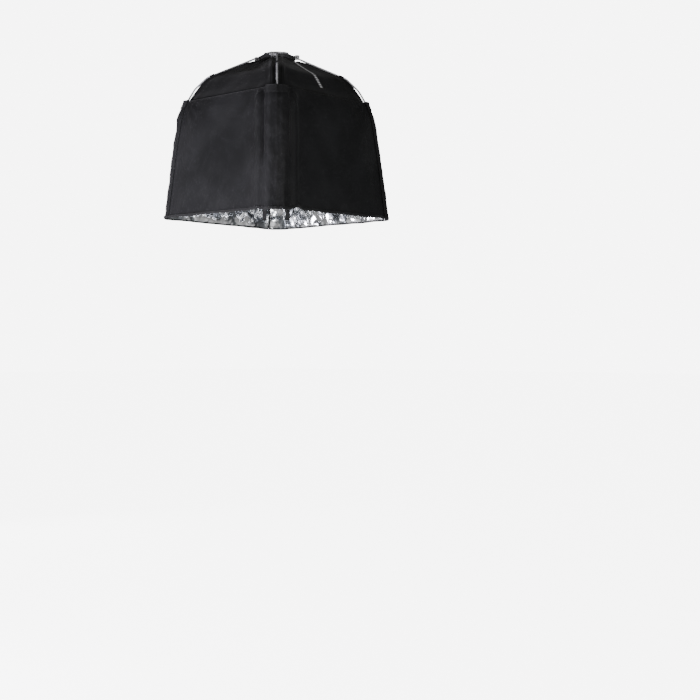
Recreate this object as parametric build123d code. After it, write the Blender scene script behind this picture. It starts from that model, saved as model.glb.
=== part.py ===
from build123d import *
import os
from math import sqrt

# A cloth softbox for a studio light. It hangs opening-down from the light, on a square plan with
# narrow cut-off corners, and four bent rods, one at each corner, hold it open.
# Millimetres. The origin is the centre of the light's seat on the adapter ring, +Z points up to the
# light, and the walls are square to X and Y. Heights named *_h are above the rim.

# ---- driving dimensions ----
SEAT_H = 722.0  # the light's seat above the rim
CLOTH = 2.0  # thickness of a cloth panel
GAP = 3.0  # between a fixed panel and the strip that moves beside it
FLANGE = 25.0  # how far a corner strip wraps on to each wall
SKIN = 0.4  # clearance between cloth pieces that ride together
HEM_H = 8.0  # height of the rim's binding
HEM_T = 3.6  # thickness of the binding

# Outer face of the skirt's corner, radius and height, from the pocket mouth to the rim.
CORNER = [(400.0, 512.0), (424.0, 455.0), (443.0, 353.0), (490.0, 0.0)]
# Outer face of the roof's ridge, radius and height, from the collar to the seam.
RIDGE = [(100.0, 694.0), (304.0, 612.0), (384.0, 510.0)]
CORNER_W_RIM = 60.0  # width of the cut-off corner at the rim
CORNER_W_TOP = 50.0  # and at the seam
RIDGE_W = 44.0  # width of a ridge strip

# Rods.
ROD_R = 4.0
PIVOT_R = 91.0  # radius of the rib's hinge pin
PIVOT_H = 710.0
PIN_END = -34.0  # sideways reach of the pin
BRACKET_Y = -24.0  # sideways place of the eye bracket
EYE_CLEARANCE = 0.05
ROD_PATH = [(306.0, 622.0), (360.0, 570.0), (392.5, 515.0), (435.0, 352.0), (479.5, 12.0)]
ROD_BENDS = [60.0, 90.0, 110.0, 260.0]
ELBOW_R = 9.0

# Hub, radii, and heights below the seat.
BORE_R = 49.0
ADAPTER_R = 58.0
ADAPTER_FLANGE_R = 66.0
ADAPTER_TOP = 8.0
ADAPTER_FLANGE_T = 5.0
RETAINER_R = 64.0
RETAINER_T = 5.0
RING_R = 76.0
RING_T = 13.4
RING_PLAY = 0.3
RUN_CLEARANCE = 0.05
PAD_FACE = 80.0
PAD_SIZE = (12.0, 44.0)
PAD_SHIFT = -8.0
LIP_R = 53.0
LUG_R = 58.0
LUG_T = 3.0
COLLAR_R = 82.0
COLLAR_LOW_H = 695.0

RIB_ANGLE = {"front_right": -45.0, "back_right": 45.0, "back_left": 135.0, "front_left": 225.0}
WALL_ANGLE = {"right": 0.0, "back": 90.0, "left": 180.0, "front": 270.0}


# ---- helpers ----
def line_at(points, height):
    """Radius on an outline of (radius, height) points at a height."""
    for (r0, h0), (r1, h1) in zip(points, points[1:]):
        if h1 <= height <= h0:
            return r0 + (r1 - r0) * (h0 - height) / (h0 - h1)
    return points[0][0] if height > points[0][1] else points[-1][0]


def corner_width(height):
    """Width of the cut-off corner at a height."""
    return CORNER_W_RIM + (CORNER_W_TOP - CORNER_W_RIM) * height / CORNER[0][1]


def wall_reach(height):
    """Distance of a wall's outer face from the axis at a height."""
    return (line_at(CORNER, height) + corner_width(height) / 2) / sqrt(2)


def wall_half(height):
    """Half the length of a wall, up to the edge of the cut-off corner."""
    return wall_reach(height) - corner_width(height) / sqrt(2)


def ridge_reach(height):
    """Distance of a roof panel's outer face from the axis at a height."""
    return (line_at(RIDGE, height) + RIDGE_W / 2) / sqrt(2)


def ridge_half(height):
    """Half the length of a roof panel at a height, up to the ridge strip's edge."""
    return ridge_reach(height) - RIDGE_W / sqrt(2)


def plate(top, bottom, thickness):
    """Cloth plate facing +X between two levels, each (reach, low y, high y, height)."""
    points = []
    for reach, low, high, height in (top, bottom):
        for depth in (0.0, thickness):
            points.append((reach - depth, low, height))
            points.append((reach - depth, high, height))
    return ConvexPolyhedron(points)


def turned(shape, angle):
    """A shape turned about the vertical axis."""
    return Rot(0, 0, angle) * shape


def joined(pieces):
    """Several touching solids as one."""
    body = pieces[0]
    for piece in pieces[1:]:
        body = body + piece
    return body.clean()


def write(name, shape):
    """Lowers a shape from rim heights to the light's seat and writes it."""
    export_step(Pos(0, 0, -SEAT_H) * shape, f"parts/{name}.step")


def ring(outer, inner, low, high):
    """A flat ring between two heights."""
    thick = high - low
    return Pos(0, 0, (low + high) / 2) * (Cylinder(outer, thick) - Cylinder(inner, thick + 1))


# ---- hub ----
RING_TOP_H = SEAT_H - ADAPTER_FLANGE_T - RING_PLAY
RING_LOW_H = RING_TOP_H - RING_T
RETAINER_TOP_H = RING_LOW_H - RING_PLAY
RETAINER_LOW_H = RETAINER_TOP_H - RETAINER_T
RING_MID_H = (RING_TOP_H + RING_LOW_H) / 2
SCREW_R = 1.6
SCREW_HEAD_R = 3.2
SCREW_HEAD_T = 2.0
SOCKET_R = 1.3
SOCKET_DEPTH = 1.1
RETAINER_PCD_R = 53.5
STUD_R = 3.0
STUD_CLEARANCE = 0.05
STUD_ENDS = (ADAPTER_R + 0.4, 92.0)
BOSS_SIZE = 16.0
KNOB_R = 11.0
KNOB_T = 18.0
KNOB_FOOT = 85.0
FLUTE_R = 2.2
FLUTES = 8


def adapter_ring():
    """The insert with a seat flange, a hub that the speed ring turns on, and three bayonet lugs."""
    body = ring(ADAPTER_R, BORE_R, RETAINER_TOP_H, SEAT_H)
    body += ring(ADAPTER_FLANGE_R, BORE_R, SEAT_H - ADAPTER_FLANGE_T, SEAT_H)
    lip_low_h = SEAT_H - 1.0
    top_h = SEAT_H + ADAPTER_TOP
    body += ring(LIP_R, BORE_R, lip_low_h, top_h)
    lug_ring = ring(LUG_R, LIP_R - 1.0, top_h - LUG_T, top_h)
    for turn in range(3):
        window = Pos(LIP_R, 0, top_h - LUG_T / 2) * Box(24.0, 30.0, LUG_T)
        body += lug_ring & turned(window, turn * 120)
    depth = 8.0
    hole = Pos(RETAINER_PCD_R, 0, RETAINER_TOP_H + depth / 2) * Cylinder(SCREW_R, depth)
    return body - retainer_pattern(hole)


def retainer_pattern(shape):
    """Six copies of a shape round the retainer's screw circle."""
    return [turned(shape, turn * 60 + 30) for turn in range(6)]


def retainer_ring():
    """The ring under the speed ring that traps it on the adapter."""
    body = ring(RETAINER_R, BORE_R, RETAINER_LOW_H, RETAINER_TOP_H)
    middle_h = RETAINER_LOW_H + RETAINER_T / 2
    hole = Pos(RETAINER_PCD_R, 0, middle_h) * Cylinder(SCREW_R, RETAINER_T + 1)
    return body - retainer_pattern(hole)


def button_screw(length):
    """A small cap screw along +Z, with its head below the origin and a hexagon socket."""
    head = Pos(0, 0, -SCREW_HEAD_T / 2) * Cylinder(SCREW_HEAD_R, SCREW_HEAD_T)
    socket = Pos(0, 0, -SCREW_HEAD_T) * extrude(RegularPolygon(SOCKET_R, 6), SOCKET_DEPTH)
    shank = Pos(0, 0, length / 2) * Cylinder(SCREW_R, length)
    return head + shank - socket


def retainer_screws():
    """Six screws up through the retainer into the adapter."""
    screw = Pos(RETAINER_PCD_R, 0, RETAINER_LOW_H) * button_screw(RETAINER_T + 6.0)
    return Compound(children=retainer_pattern(screw))


BRACKET_T = 3.0
BRACKET_SCREW_Y = (-14.0, -4.0)
BRACKET_FOOT = 25.0
EYE_REACH = 99.0
EYE_HEIGHT = 22.0
EYE_CHAMFER = 4.0
SCREW_DEPTH = 11.0


def bracket_screw_places():
    """The two screws of a rib bracket, in the rib's own frame, pointing inwards."""
    places = []
    for y in BRACKET_SCREW_Y:
        places.append(Pos(PAD_FACE + BRACKET_T, y, RING_MID_H) * Rot(0, -90, 0))
    return places


def speed_ring():
    """The outer ring with four flat pads for the rib brackets and a boss for the lock stud."""
    body = ring(RING_R, ADAPTER_R + RUN_CLEARANCE, RING_LOW_H, RING_TOP_H)
    length, width = PAD_SIZE
    pad = Pos(PAD_FACE - length / 2, PAD_SHIFT, RING_MID_H) * Box(length, width, RING_T)
    drill = Pos(0, 0, SCREW_DEPTH / 2) * Cylinder(SCREW_R, SCREW_DEPTH)
    for angle in RIB_ANGLE.values():
        body += turned(pad, angle)
    for angle in RIB_ANGLE.values():
        body -= [turned(place * drill, angle) for place in bracket_screw_places()]
    boss = Pos(0, RING_R + 1.0, RING_MID_H) * Box(BOSS_SIZE, BOSS_SIZE / 2, RING_T)
    stud_hole = Cylinder(STUD_R + STUD_CLEARANCE, 2 * RING_T)
    return body + boss - Pos(0, RING_R - 6.0, RING_MID_H) * Rot(90, 0, 0) * stud_hole


def lock_stud():
    """The stud through the speed ring that presses on the adapter's hub."""
    low, high = STUD_ENDS
    return Pos(0, (low + high) / 2, RING_MID_H) * Rot(90, 0, 0) * Cylinder(STUD_R, high - low)


def lock_knob():
    """A fluted knob on the stud's outer end."""
    body = fillet(Cylinder(KNOB_R, KNOB_T).edges(), 1.5)
    flute = Pos(KNOB_R + FLUTE_R / 2, 0, 0) * Cylinder(FLUTE_R, KNOB_T + 2)
    body -= [turned(flute, turn * 360 / FLUTES) for turn in range(FLUTES)]
    depth = STUD_ENDS[1] - KNOB_FOOT
    body -= Pos(0, 0, (depth - KNOB_T) / 2) * Cylinder(STUD_R, depth)
    return Pos(0, KNOB_FOOT + KNOB_T / 2, RING_MID_H) * Rot(-90, 0, 0) * body


def rib_bracket():
    """An L-shaped steel bracket: a foot on the pad and an upright eye for the rod's pin."""
    foot_x = PAD_FACE + BRACKET_T / 2
    foot = Pos(foot_x, -BRACKET_FOOT / 2, RING_MID_H) * Box(BRACKET_T, BRACKET_FOOT, RING_T)
    eye = Box(EYE_REACH - PAD_FACE, BRACKET_T, EYE_HEIGHT)
    eye = Pos((PAD_FACE + EYE_REACH) / 2, BRACKET_Y, PIVOT_H) * eye
    eye = chamfer(eye.edges().filter_by(Axis.Y), EYE_CHAMFER)
    heel = Pos(foot_x, BRACKET_Y, PIVOT_H) * Box(BRACKET_T, BRACKET_T, EYE_HEIGHT)
    hole = Rot(90, 0, 0) * Cylinder(ROD_R + EYE_CLEARANCE, 2 * BRACKET_T)
    drill = Pos(0, 0, BRACKET_T / 2) * Cylinder(SCREW_R, BRACKET_T + 1)
    body = foot + eye + heel - Pos(PIVOT_R, BRACKET_Y, PIVOT_H) * hole
    return body - [place * drill for place in bracket_screw_places()]


def bracket_screws():
    """Two screws in each rib bracket."""
    screws = []
    for angle in RIB_ANGLE.values():
        for place in bracket_screw_places():
            screws.append(turned(place * button_screw(BRACKET_T + 8.0), angle))
    return Compound(children=screws)


# ---- rib, in its own frame with the corner towards +X ----
CLIP_WIDTH = 2.5
CLIP_T = 1.6
TIP_GRIP = 14.0
TIP_WALL = 1.2
TIP_END = 3.0
KEEPER_SIZE = (13.0, 20.0, 22.0)
KEEPER_SETBACK = 13.0  # from the rod's bend
MOUTH_T = 1.6
MOUTH_HEIGHT = 26.0
MOUTH_FLANGE = 21.0
TAB_WIDTH = 17.0
TAB_DROP = 48.0  # how far a tab hangs below the rim
TAB_SEWN = 10.0


def rib_rod():
    """The bent rod: its hooked top is the hinge pin, then it runs down the roof and the corner."""
    stations = [(PIVOT_R, PIN_END, PIVOT_H), (PIVOT_R, 0.0, PIVOT_H)]
    stations += [(r, 0.0, h) for r, h in ROD_PATH]
    path = FilletPolyline(*stations, radius=[ELBOW_R] + ROD_BENDS)
    start = Plane(origin=stations[0], z_dir=(0, 1, 0))
    return sweep(start * Circle(ROD_R), path=path)


def pin_clip():
    """The snap ring on the pin's free end."""
    centre = Pos(PIVOT_R, BRACKET_Y - BRACKET_T, PIVOT_H) * Rot(90, 0, 0)
    return centre * (Cylinder(ROD_R + CLIP_WIDTH, CLIP_T) - Cylinder(ROD_R, 2 * CLIP_T))


def rod_direction():
    """The rod's last run: end point and unit direction."""
    (r0, h0), (r1, h1) = ROD_PATH[-2:]
    run = Vector(r1 - r0, 0, h1 - h0)
    return Vector(r1, 0, h1), run.normalized()


def rod_tip():
    """The cap on the rod's lower end."""
    end, along = rod_direction()
    cap = Cylinder(ROD_R + TIP_WALL, TIP_GRIP + TIP_END)
    cap = fillet(cap.edges().group_by(Axis.Z)[-1], 2.0)
    cap -= Pos(0, 0, -TIP_END / 2) * Cylinder(ROD_R, TIP_GRIP)
    centre = end - along * (TIP_GRIP - TIP_END) / 2
    return Plane(origin=centre, z_dir=along) * cap


def keeper():
    """The cloth loop round the rod at its bend."""
    (r0, h0), (r1, h1) = (PIVOT_R, PIVOT_H), ROD_PATH[0]
    along = Vector(r1 - r0, 0, h1 - h0).normalized()
    length = KEEPER_SIZE[2]
    centre = Vector(r1, 0, h1) - along * (length / 2 + KEEPER_SETBACK)
    loop = Box(*KEEPER_SIZE) - Cylinder(ROD_R + SKIN, length + 1)
    return Plane(origin=centre, x_dir=(0, 0, 1), z_dir=along) * loop


def ridge_strip():
    """The roof strip under the rod, two flat runs."""
    levels = [(r, -RIDGE_W / 2, RIDGE_W / 2, h) for r, h in RIDGE]
    return joined([slanted_plate(*ends, CLOTH) for ends in zip(levels, levels[1:])])


SLANT = (0.7, 0.9)  # inwards and downwards share of a roof piece's thickness


def slanted_plate(top, bottom, thickness):
    """Plate on a roof slope, its thickness measured downwards and inwards together."""
    points = []
    for reach, low, high, height in (top, bottom):
        for side in (low, high):
            points.append((reach, side, height))
            points.append((reach - thickness * SLANT[0], side, height - thickness * SLANT[1]))
    return ConvexPolyhedron(points)


def corner_shell(heights, thickness, grow, flange):
    """A strip wrapped round the cut-off corner: the facet and a flange on each wall."""
    pieces = []
    for top, bottom in zip(heights, heights[1:]):
        sections = []
        for height in (top, bottom):
            reach = line_at(CORNER, height) + grow
            half = corner_width(height) / 2 + grow * (sqrt(2) - 1)
            sections.append((reach, half, height))
        pieces.append(facet_run(sections, thickness, flange, 0))
        pieces.append(facet_run(sections, thickness, flange, 1))
        pieces.append(facet_run(sections, thickness, flange, -1))
    return joined(pieces)


def facet_run(sections, thickness, flange, side):
    """One flat run of a corner strip: the facet (side 0) or a flange (side 1 or -1)."""
    slope = sqrt(0.5)  # a wall stands at 45 degrees to the rib's own frame
    mitre = thickness * (sqrt(2) - 1)
    points = []
    for reach, half, height in sections:
        outer = (reach, half)
        inner = (reach - thickness, half - mitre)
        if side == 0:
            edges = [outer, inner, (outer[0], -outer[1]), (inner[0], -inner[1])]
        else:
            far_out = (outer[0] - flange * slope, outer[1] + flange * slope)
            far_in = (far_out[0] - thickness * slope, far_out[1] - thickness * slope)
            edges = [(x, side * y) for x, y in (outer, inner, far_out, far_in)]
        points += [(x, y, height) for x, y in edges]
    return ConvexPolyhedron(points)


def corner_band():
    """The sleeve strip down the skirt's corner."""
    heights = [h for _, h in CORNER[:-1]] + [HEM_H + SKIN]
    return corner_shell(heights, CLOTH, 0.0, FLANGE)


def pocket_mouth():
    """The webbing round the top of the sleeve."""
    top_h = CORNER[0][1]
    return corner_shell([top_h, top_h - MOUTH_HEIGHT], MOUTH_T, MOUTH_T + SKIN, MOUTH_FLANGE)


def corner_hem():
    """The binding along the corner's rim."""
    return corner_shell([HEM_H, 0.0], HEM_T, (HEM_T - CLOTH) / 2, FLANGE)


# ---- fixed cloth, each facing +X ----
WALL_TOP_H = 508.0
SEAM_SETBACK = 8.0  # the seam's turned-in lip stops short of the corner strips


def wall_level(height, grow=0.0):
    """A wall's (reach, low y, high y, height) between its corner strips."""
    half = wall_half(height) - FLANGE - GAP
    return wall_reach(height) + grow, -half, half, height


def wall_panel():
    """A skirt panel between two corner strips: three flat runs and the seam's turned-in lip."""
    heights = [WALL_TOP_H] + [h for _, h in CORNER[1:-1]] + [HEM_H + SKIN]
    levels = [wall_level(height) for height in heights]
    pieces = [plate(*ends, CLOTH) for ends in zip(levels, levels[1:])]
    reach, low, high, _ = levels[0]
    inner = ridge_reach(WALL_TOP_H) - CLOTH
    centre = Pos((reach - CLOTH / 2 + inner) / 2, 0, WALL_TOP_H - CLOTH / 2)
    lip = centre * Box(reach - CLOTH / 2 - inner, high - low - 2 * SEAM_SETBACK, CLOTH)
    return joined(pieces + [lip])


def wall_hem():
    """The binding along a wall's rim."""
    grow = (HEM_T - CLOTH) / 2
    return plate(wall_level(HEM_H, grow), wall_level(0.0, grow), HEM_T)


def roof_gore():
    """A roof panel between two ridge strips, two flat runs."""
    levels = []
    for height in (RIDGE[0][1], RIDGE[1][1], WALL_TOP_H + CLOTH + SKIN):
        half = ridge_half(height) - GAP
        levels.append((ridge_reach(height), -half, half, height))
    return joined([slanted_plate(*ends, CLOTH) for ends in zip(levels, levels[1:])])


def roof_collar():
    """The cloth collar under the ring, a shallow cone."""
    rise = RING_LOW_H - SKIN - COLLAR_LOW_H
    middle = Pos(0, 0, COLLAR_LOW_H + rise / 2)
    outer = Cone(COLLAR_R, RING_R, rise)
    inner = Cone(COLLAR_R - CLOTH, RING_R - CLOTH, rise + 0.01)
    return middle * (outer - inner)


PATCH_TOP_H = 674.0
PATCH_LOW_H = 538.0
PATCH_HALF = 11.0
PATCH_T = 1.2


def label_patch():
    """A plain woven strip down the middle of the right roof panel."""
    lift = PATCH_T + SKIN
    levels = []
    for height in (PATCH_TOP_H, RIDGE[1][1], PATCH_LOW_H):
        reach = ridge_reach(height) + lift * SLANT[0]
        levels.append((reach, -PATCH_HALF, PATCH_HALF, height + lift * SLANT[1]))
    upper = slanted_plate(levels[0], levels[1], PATCH_T)
    lower = slanted_plate(levels[1], levels[2], PATCH_T)
    return joined([upper, lower])


def tie_tab(side):
    """A tab inside the front right corner's rim, at the end of one flange, in the rib's frame."""
    reach = line_at(CORNER, 0.0)
    half = corner_width(0.0) / 2
    slope = sqrt(0.5)
    inset = HEM_T + CLOTH / 2
    points = []
    for along in (FLANGE - TAB_WIDTH - 1.0, FLANGE - 1.0):
        for depth in (inset, inset + CLOTH):
            x = reach - (along + depth) * slope
            y = half + (along - depth) * slope
            for height in (HEM_H + TAB_SEWN, -TAB_DROP):
                points.append((x, side * y, height))
    return ConvexPolyhedron(points)


def main():
    os.makedirs("parts", exist_ok=True)
    write("adapter_ring", adapter_ring())
    write("retainer_ring", retainer_ring())
    write("retainer_screws", retainer_screws())
    write("speed_ring", speed_ring())
    write("bracket_screws", bracket_screws())
    write("lock_stud", lock_stud())
    write("lock_knob", lock_knob())
    write("roof_collar", roof_collar())
    write("label_patch", label_patch())
    rib_pieces = {
        "rib_bracket": rib_bracket(),
        "rib_rod": rib_rod(),
        "pin_clip": pin_clip(),
        "rod_tip": rod_tip(),
        "keeper": keeper(),
        "ridge_strip": ridge_strip(),
        "corner_band": corner_band(),
        "pocket_mouth": pocket_mouth(),
        "corner_hem": corner_hem(),
    }
    for place, angle in RIB_ANGLE.items():
        for name, shape in rib_pieces.items():
            write(f"{name}_{place}", turned(shape, angle))
    write("tie_tab_left", turned(tie_tab(-1), RIB_ANGLE["front_right"]))
    write("tie_tab_right", turned(tie_tab(1), RIB_ANGLE["front_right"]))
    wall_pieces = {"wall_panel": wall_panel(), "wall_hem": wall_hem(), "roof_gore": roof_gore()}
    for place, angle in WALL_ANGLE.items():
        for name, shape in wall_pieces.items():
            write(f"{name}_{place}", turned(shape, angle))


main()
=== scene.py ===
"""A cloth softbox hung opening-down from a studio light.

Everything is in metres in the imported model's frame: the origin is the light's seat on the adapter
ring, +Z points up to the light, the front wall faces -Y. Heights in this file are above the rim.
"""

from __future__ import annotations

import logging
import math
from dataclasses import dataclass, field
from enum import Enum, IntEnum
from functools import cache
from typing import Callable, Sequence

import bpy
import numpy as np
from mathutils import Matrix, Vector, noise


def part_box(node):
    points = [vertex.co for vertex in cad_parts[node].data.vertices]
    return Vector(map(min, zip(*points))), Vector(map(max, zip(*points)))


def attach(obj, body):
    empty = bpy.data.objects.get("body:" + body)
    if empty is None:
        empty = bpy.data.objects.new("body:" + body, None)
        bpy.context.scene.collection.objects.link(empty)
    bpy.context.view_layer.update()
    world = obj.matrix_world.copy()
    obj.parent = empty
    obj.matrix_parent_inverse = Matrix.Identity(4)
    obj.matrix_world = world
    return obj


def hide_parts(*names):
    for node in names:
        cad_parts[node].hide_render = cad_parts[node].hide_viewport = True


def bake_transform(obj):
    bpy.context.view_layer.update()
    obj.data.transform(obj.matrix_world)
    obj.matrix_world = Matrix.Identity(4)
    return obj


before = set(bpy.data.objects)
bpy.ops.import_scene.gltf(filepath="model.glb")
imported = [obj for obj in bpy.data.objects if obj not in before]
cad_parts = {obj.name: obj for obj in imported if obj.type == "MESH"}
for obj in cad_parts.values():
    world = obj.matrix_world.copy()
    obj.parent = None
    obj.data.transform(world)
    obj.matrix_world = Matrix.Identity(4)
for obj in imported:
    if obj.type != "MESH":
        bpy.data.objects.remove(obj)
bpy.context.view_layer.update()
LOG = logging.getLogger("softbox")
Grid = np.ndarray
Object, Material = bpy.types.Object, bpy.types.Material
Tree, Node, Socket = bpy.types.NodeTree, bpy.types.Node, bpy.types.NodeSocket
ROOT_HALF = math.sqrt(0.5)
OUTWARD, UP = np.array([1.0, 0.0, 0.0]), np.array([0.0, 0.0, 1.0])


class Half(IntEnum):
    """The two halves of a panel, by the side of its middle that each lies on."""

    LOW = -1
    HIGH = 1

    @property
    def label(self) -> str:
        """The half's name, as its pieces have it."""
        return self.name.lower()


class Corner(Enum):
    """The box's corners, by the angle of their rib about the vertical."""

    FRONT_RIGHT = -45.0
    BACK_RIGHT = 45.0
    BACK_LEFT = 135.0
    FRONT_LEFT = 225.0

    @property
    def label(self) -> str:
        """The corner's name as the model's nodes have it."""
        return self.name.lower()

    @property
    def body(self) -> str:
        """The rib body that moves with this corner."""
        return f"rib_{self.label}"


class Wall(Enum):
    """The box's sides, by the angle that they face, with the corners at their two ends."""

    RIGHT = (0.0, Corner.FRONT_RIGHT, Corner.BACK_RIGHT)
    BACK = (90.0, Corner.BACK_RIGHT, Corner.BACK_LEFT)
    LEFT = (180.0, Corner.BACK_LEFT, Corner.FRONT_LEFT)
    FRONT = (270.0, Corner.FRONT_LEFT, Corner.FRONT_RIGHT)

    @property
    def label(self) -> str:
        """The wall's name as the model's nodes have it."""
        return self.name.lower()

    @property
    def angle(self) -> float:
        """The angle that the wall faces, in degrees about the vertical."""
        return self.value[0]

    def corner(self, side: Half) -> Corner:
        """The corner at the wall's low or high end."""
        return self.value[1] if side < 0 else self.value[2]


# ---------------------------------------------------------------- shapes and sampling


def ease(t: Grid) -> Grid:
    """A smooth step from 0 to 1."""
    t = np.clip(t, 0.0, 1.0)
    return t * t * (3.0 - 2.0 * t)


def turn(points: Grid, degrees: float) -> Grid:
    """Points turned about the vertical axis.

    Args:
        points: An array whose last axis is x, y, z.
        degrees: The angle of the turn.

    Returns:
        The turned points, in the same layout.
    """
    c, s = math.cos(math.radians(degrees)), math.sin(math.radians(degrees))
    x, y, z = points[..., 0], points[..., 1], points[..., 2]
    return np.stack([c * x - s * y, s * x + c * y, z], axis=-1)


def rough(points: Grid, size: float, seed: float, octaves: int = 2) -> Grid:
    """Smooth noise from about -1 to 1, the same on every run.

    Args:
        points: An array whose last axis is a place in metres.
        size: The size of the lumps in metres, or one size for each axis.
        seed: A shift that tells one field from another.
        octaves: How many finer layers are added.

    Returns:
        One value for each point.
    """
    flat = (points / np.array(size)).reshape(-1, points.shape[-1])
    if flat.shape[1] == 2:
        flat = np.column_stack([flat, np.zeros(len(flat))])
    out = np.zeros(len(flat))
    for layer in range(octaves):
        scale, shift = 2.0**layer, seed + 7.3 * layer
        out += [noise.noise(Vector((p[0] * scale + shift, p[1] * scale, p[2] * scale))) / scale for p in flat]
    return out.reshape(points.shape[:-1])


def fade(distance: Grid, reach: float) -> Grid:
    """1 at no distance, falling away over a reach."""
    return np.exp(-distance / reach)


def hump(place: Grid, at: Grid | float, width: float) -> Grid:
    """A smooth hump of height 1 at a place."""
    return np.exp(-(((place - at) / width) ** 2))


def run_length(line: Grid) -> Grid:
    """How far along a line each of its points lies."""
    return np.concatenate([[0.0], np.cumsum(np.linalg.norm(np.diff(line, axis=0), axis=1))])


@dataclass(frozen=True)
class SmoothLine:
    """A smooth line through a few points, sampled by a share of its length."""

    points: tuple[tuple[float, float], ...]

    def at(self, share: Grid) -> tuple[Grid, Grid]:
        """The line's two coordinates at shares of its length from 0 to 1.

        Args:
            share: Shares of its length, from 0 to 1.

        Returns:
            Its first and its second coordinates.
        """
        pts = np.array(self.points)
        steps = np.hypot(*np.diff(pts, axis=0).T)
        knots = np.concatenate([[0.0], np.cumsum(steps)]) / steps.sum()
        return tuple(hermite(knots, pts[:, axis], share) for axis in (0, 1))


def hermite(knots: Grid, values: Grid, at: Grid) -> Grid:
    """Monotone cubic interpolation.

    Args:
        knots: Rising places of the known values.
        values: The known values.
        at: The places asked for.

    Returns:
        The values there.
    """
    gaps, rises = np.diff(knots), np.diff(values) / np.diff(knots)
    slopes = np.concatenate([[rises[0]], np.zeros(len(rises) - 1), [rises[-1]]])
    for i in range(1, len(rises)):
        if rises[i - 1] * rises[i] > 0:
            slopes[i] = 2.0 * rises[i - 1] * rises[i] / (rises[i - 1] + rises[i])
    at = np.clip(at, knots[0], knots[-1])
    cell = np.clip(np.searchsorted(knots, at, side="right") - 1, 0, len(gaps) - 1)
    t = (at - knots[cell]) / gaps[cell]
    a, b = values[cell], values[cell + 1]
    da, db = slopes[cell] * gaps[cell], slopes[cell + 1] * gaps[cell]
    t2, t3 = t * t, t * t * t
    return a * (2 * t3 - 3 * t2 + 1) + da * (t3 - 2 * t2 + t) + b * (3 * t2 - 2 * t3) + db * (t3 - t2)


@dataclass(frozen=True)
class Outline:
    """The box's outside lines: the skirt's corner and the roof's ridge, as radius and height."""

    rim_z: float
    skirt: tuple[tuple[float, float], ...] = ((0.490, 0.0), (0.443, 0.353), (0.424, 0.455), (0.400, 0.512))
    ridge: tuple[tuple[float, float], ...] = (
        (0.384, 0.510),
        (0.346, 0.566),
        (0.304, 0.612),
        (0.205, 0.6545),
        (0.120, 0.6875),
        (0.098, 0.6935),
    )
    rim_corner: float = 0.060
    seam_corner: float = 0.050
    ridge_width: float = 0.044
    flange: float = 0.025
    seam_h: float = 0.510
    corner_droop: float = 0.006

    @classmethod
    def from_frame(cls) -> "Outline":
        """The outline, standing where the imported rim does."""
        return cls(rim_z=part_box("wall_hem_right")[0].z)

    def corner_radius(self, h: Grid) -> Grid:
        """Radius of the cut-off corner's face at a height."""
        heights = np.array([p[1] for p in self.skirt])
        return hermite(heights, np.array([p[0] for p in self.skirt]), h)

    def corner_width(self, h: Grid) -> Grid:
        """Width of the cut-off corner at a height."""
        return self.rim_corner + (self.seam_corner - self.rim_corner) * h / self.skirt[-1][1]

    def reach(self, h: Grid) -> Grid:
        """Distance of a wall's face from the axis at a height."""
        return (self.corner_radius(h) + self.corner_width(h) / 2) * ROOT_HALF

    def wall_half(self, h: Grid) -> Grid:
        """Half the length of a wall at a height, up to the cut-off corner's edge."""
        return self.reach(h) - self.corner_width(h) * ROOT_HALF

    def droop(self, h: Grid) -> Grid:
        """How far the rim hangs down at the front right corner, fading with height."""
        return self.corner_droop * fade(h, 0.10)

    def lift(self, points: Grid) -> Grid:
        """Points with heights above the rim, moved into the frame."""
        return points + np.array([0.0, 0.0, self.rim_z])

    def stand(self, points: Grid, degrees: float) -> Grid:
        """Points turned about the vertical to their side of the box, and moved into the frame."""
        return self.lift(turn(points, degrees))


# ---------------------------------------------------------------- meshes


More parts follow.
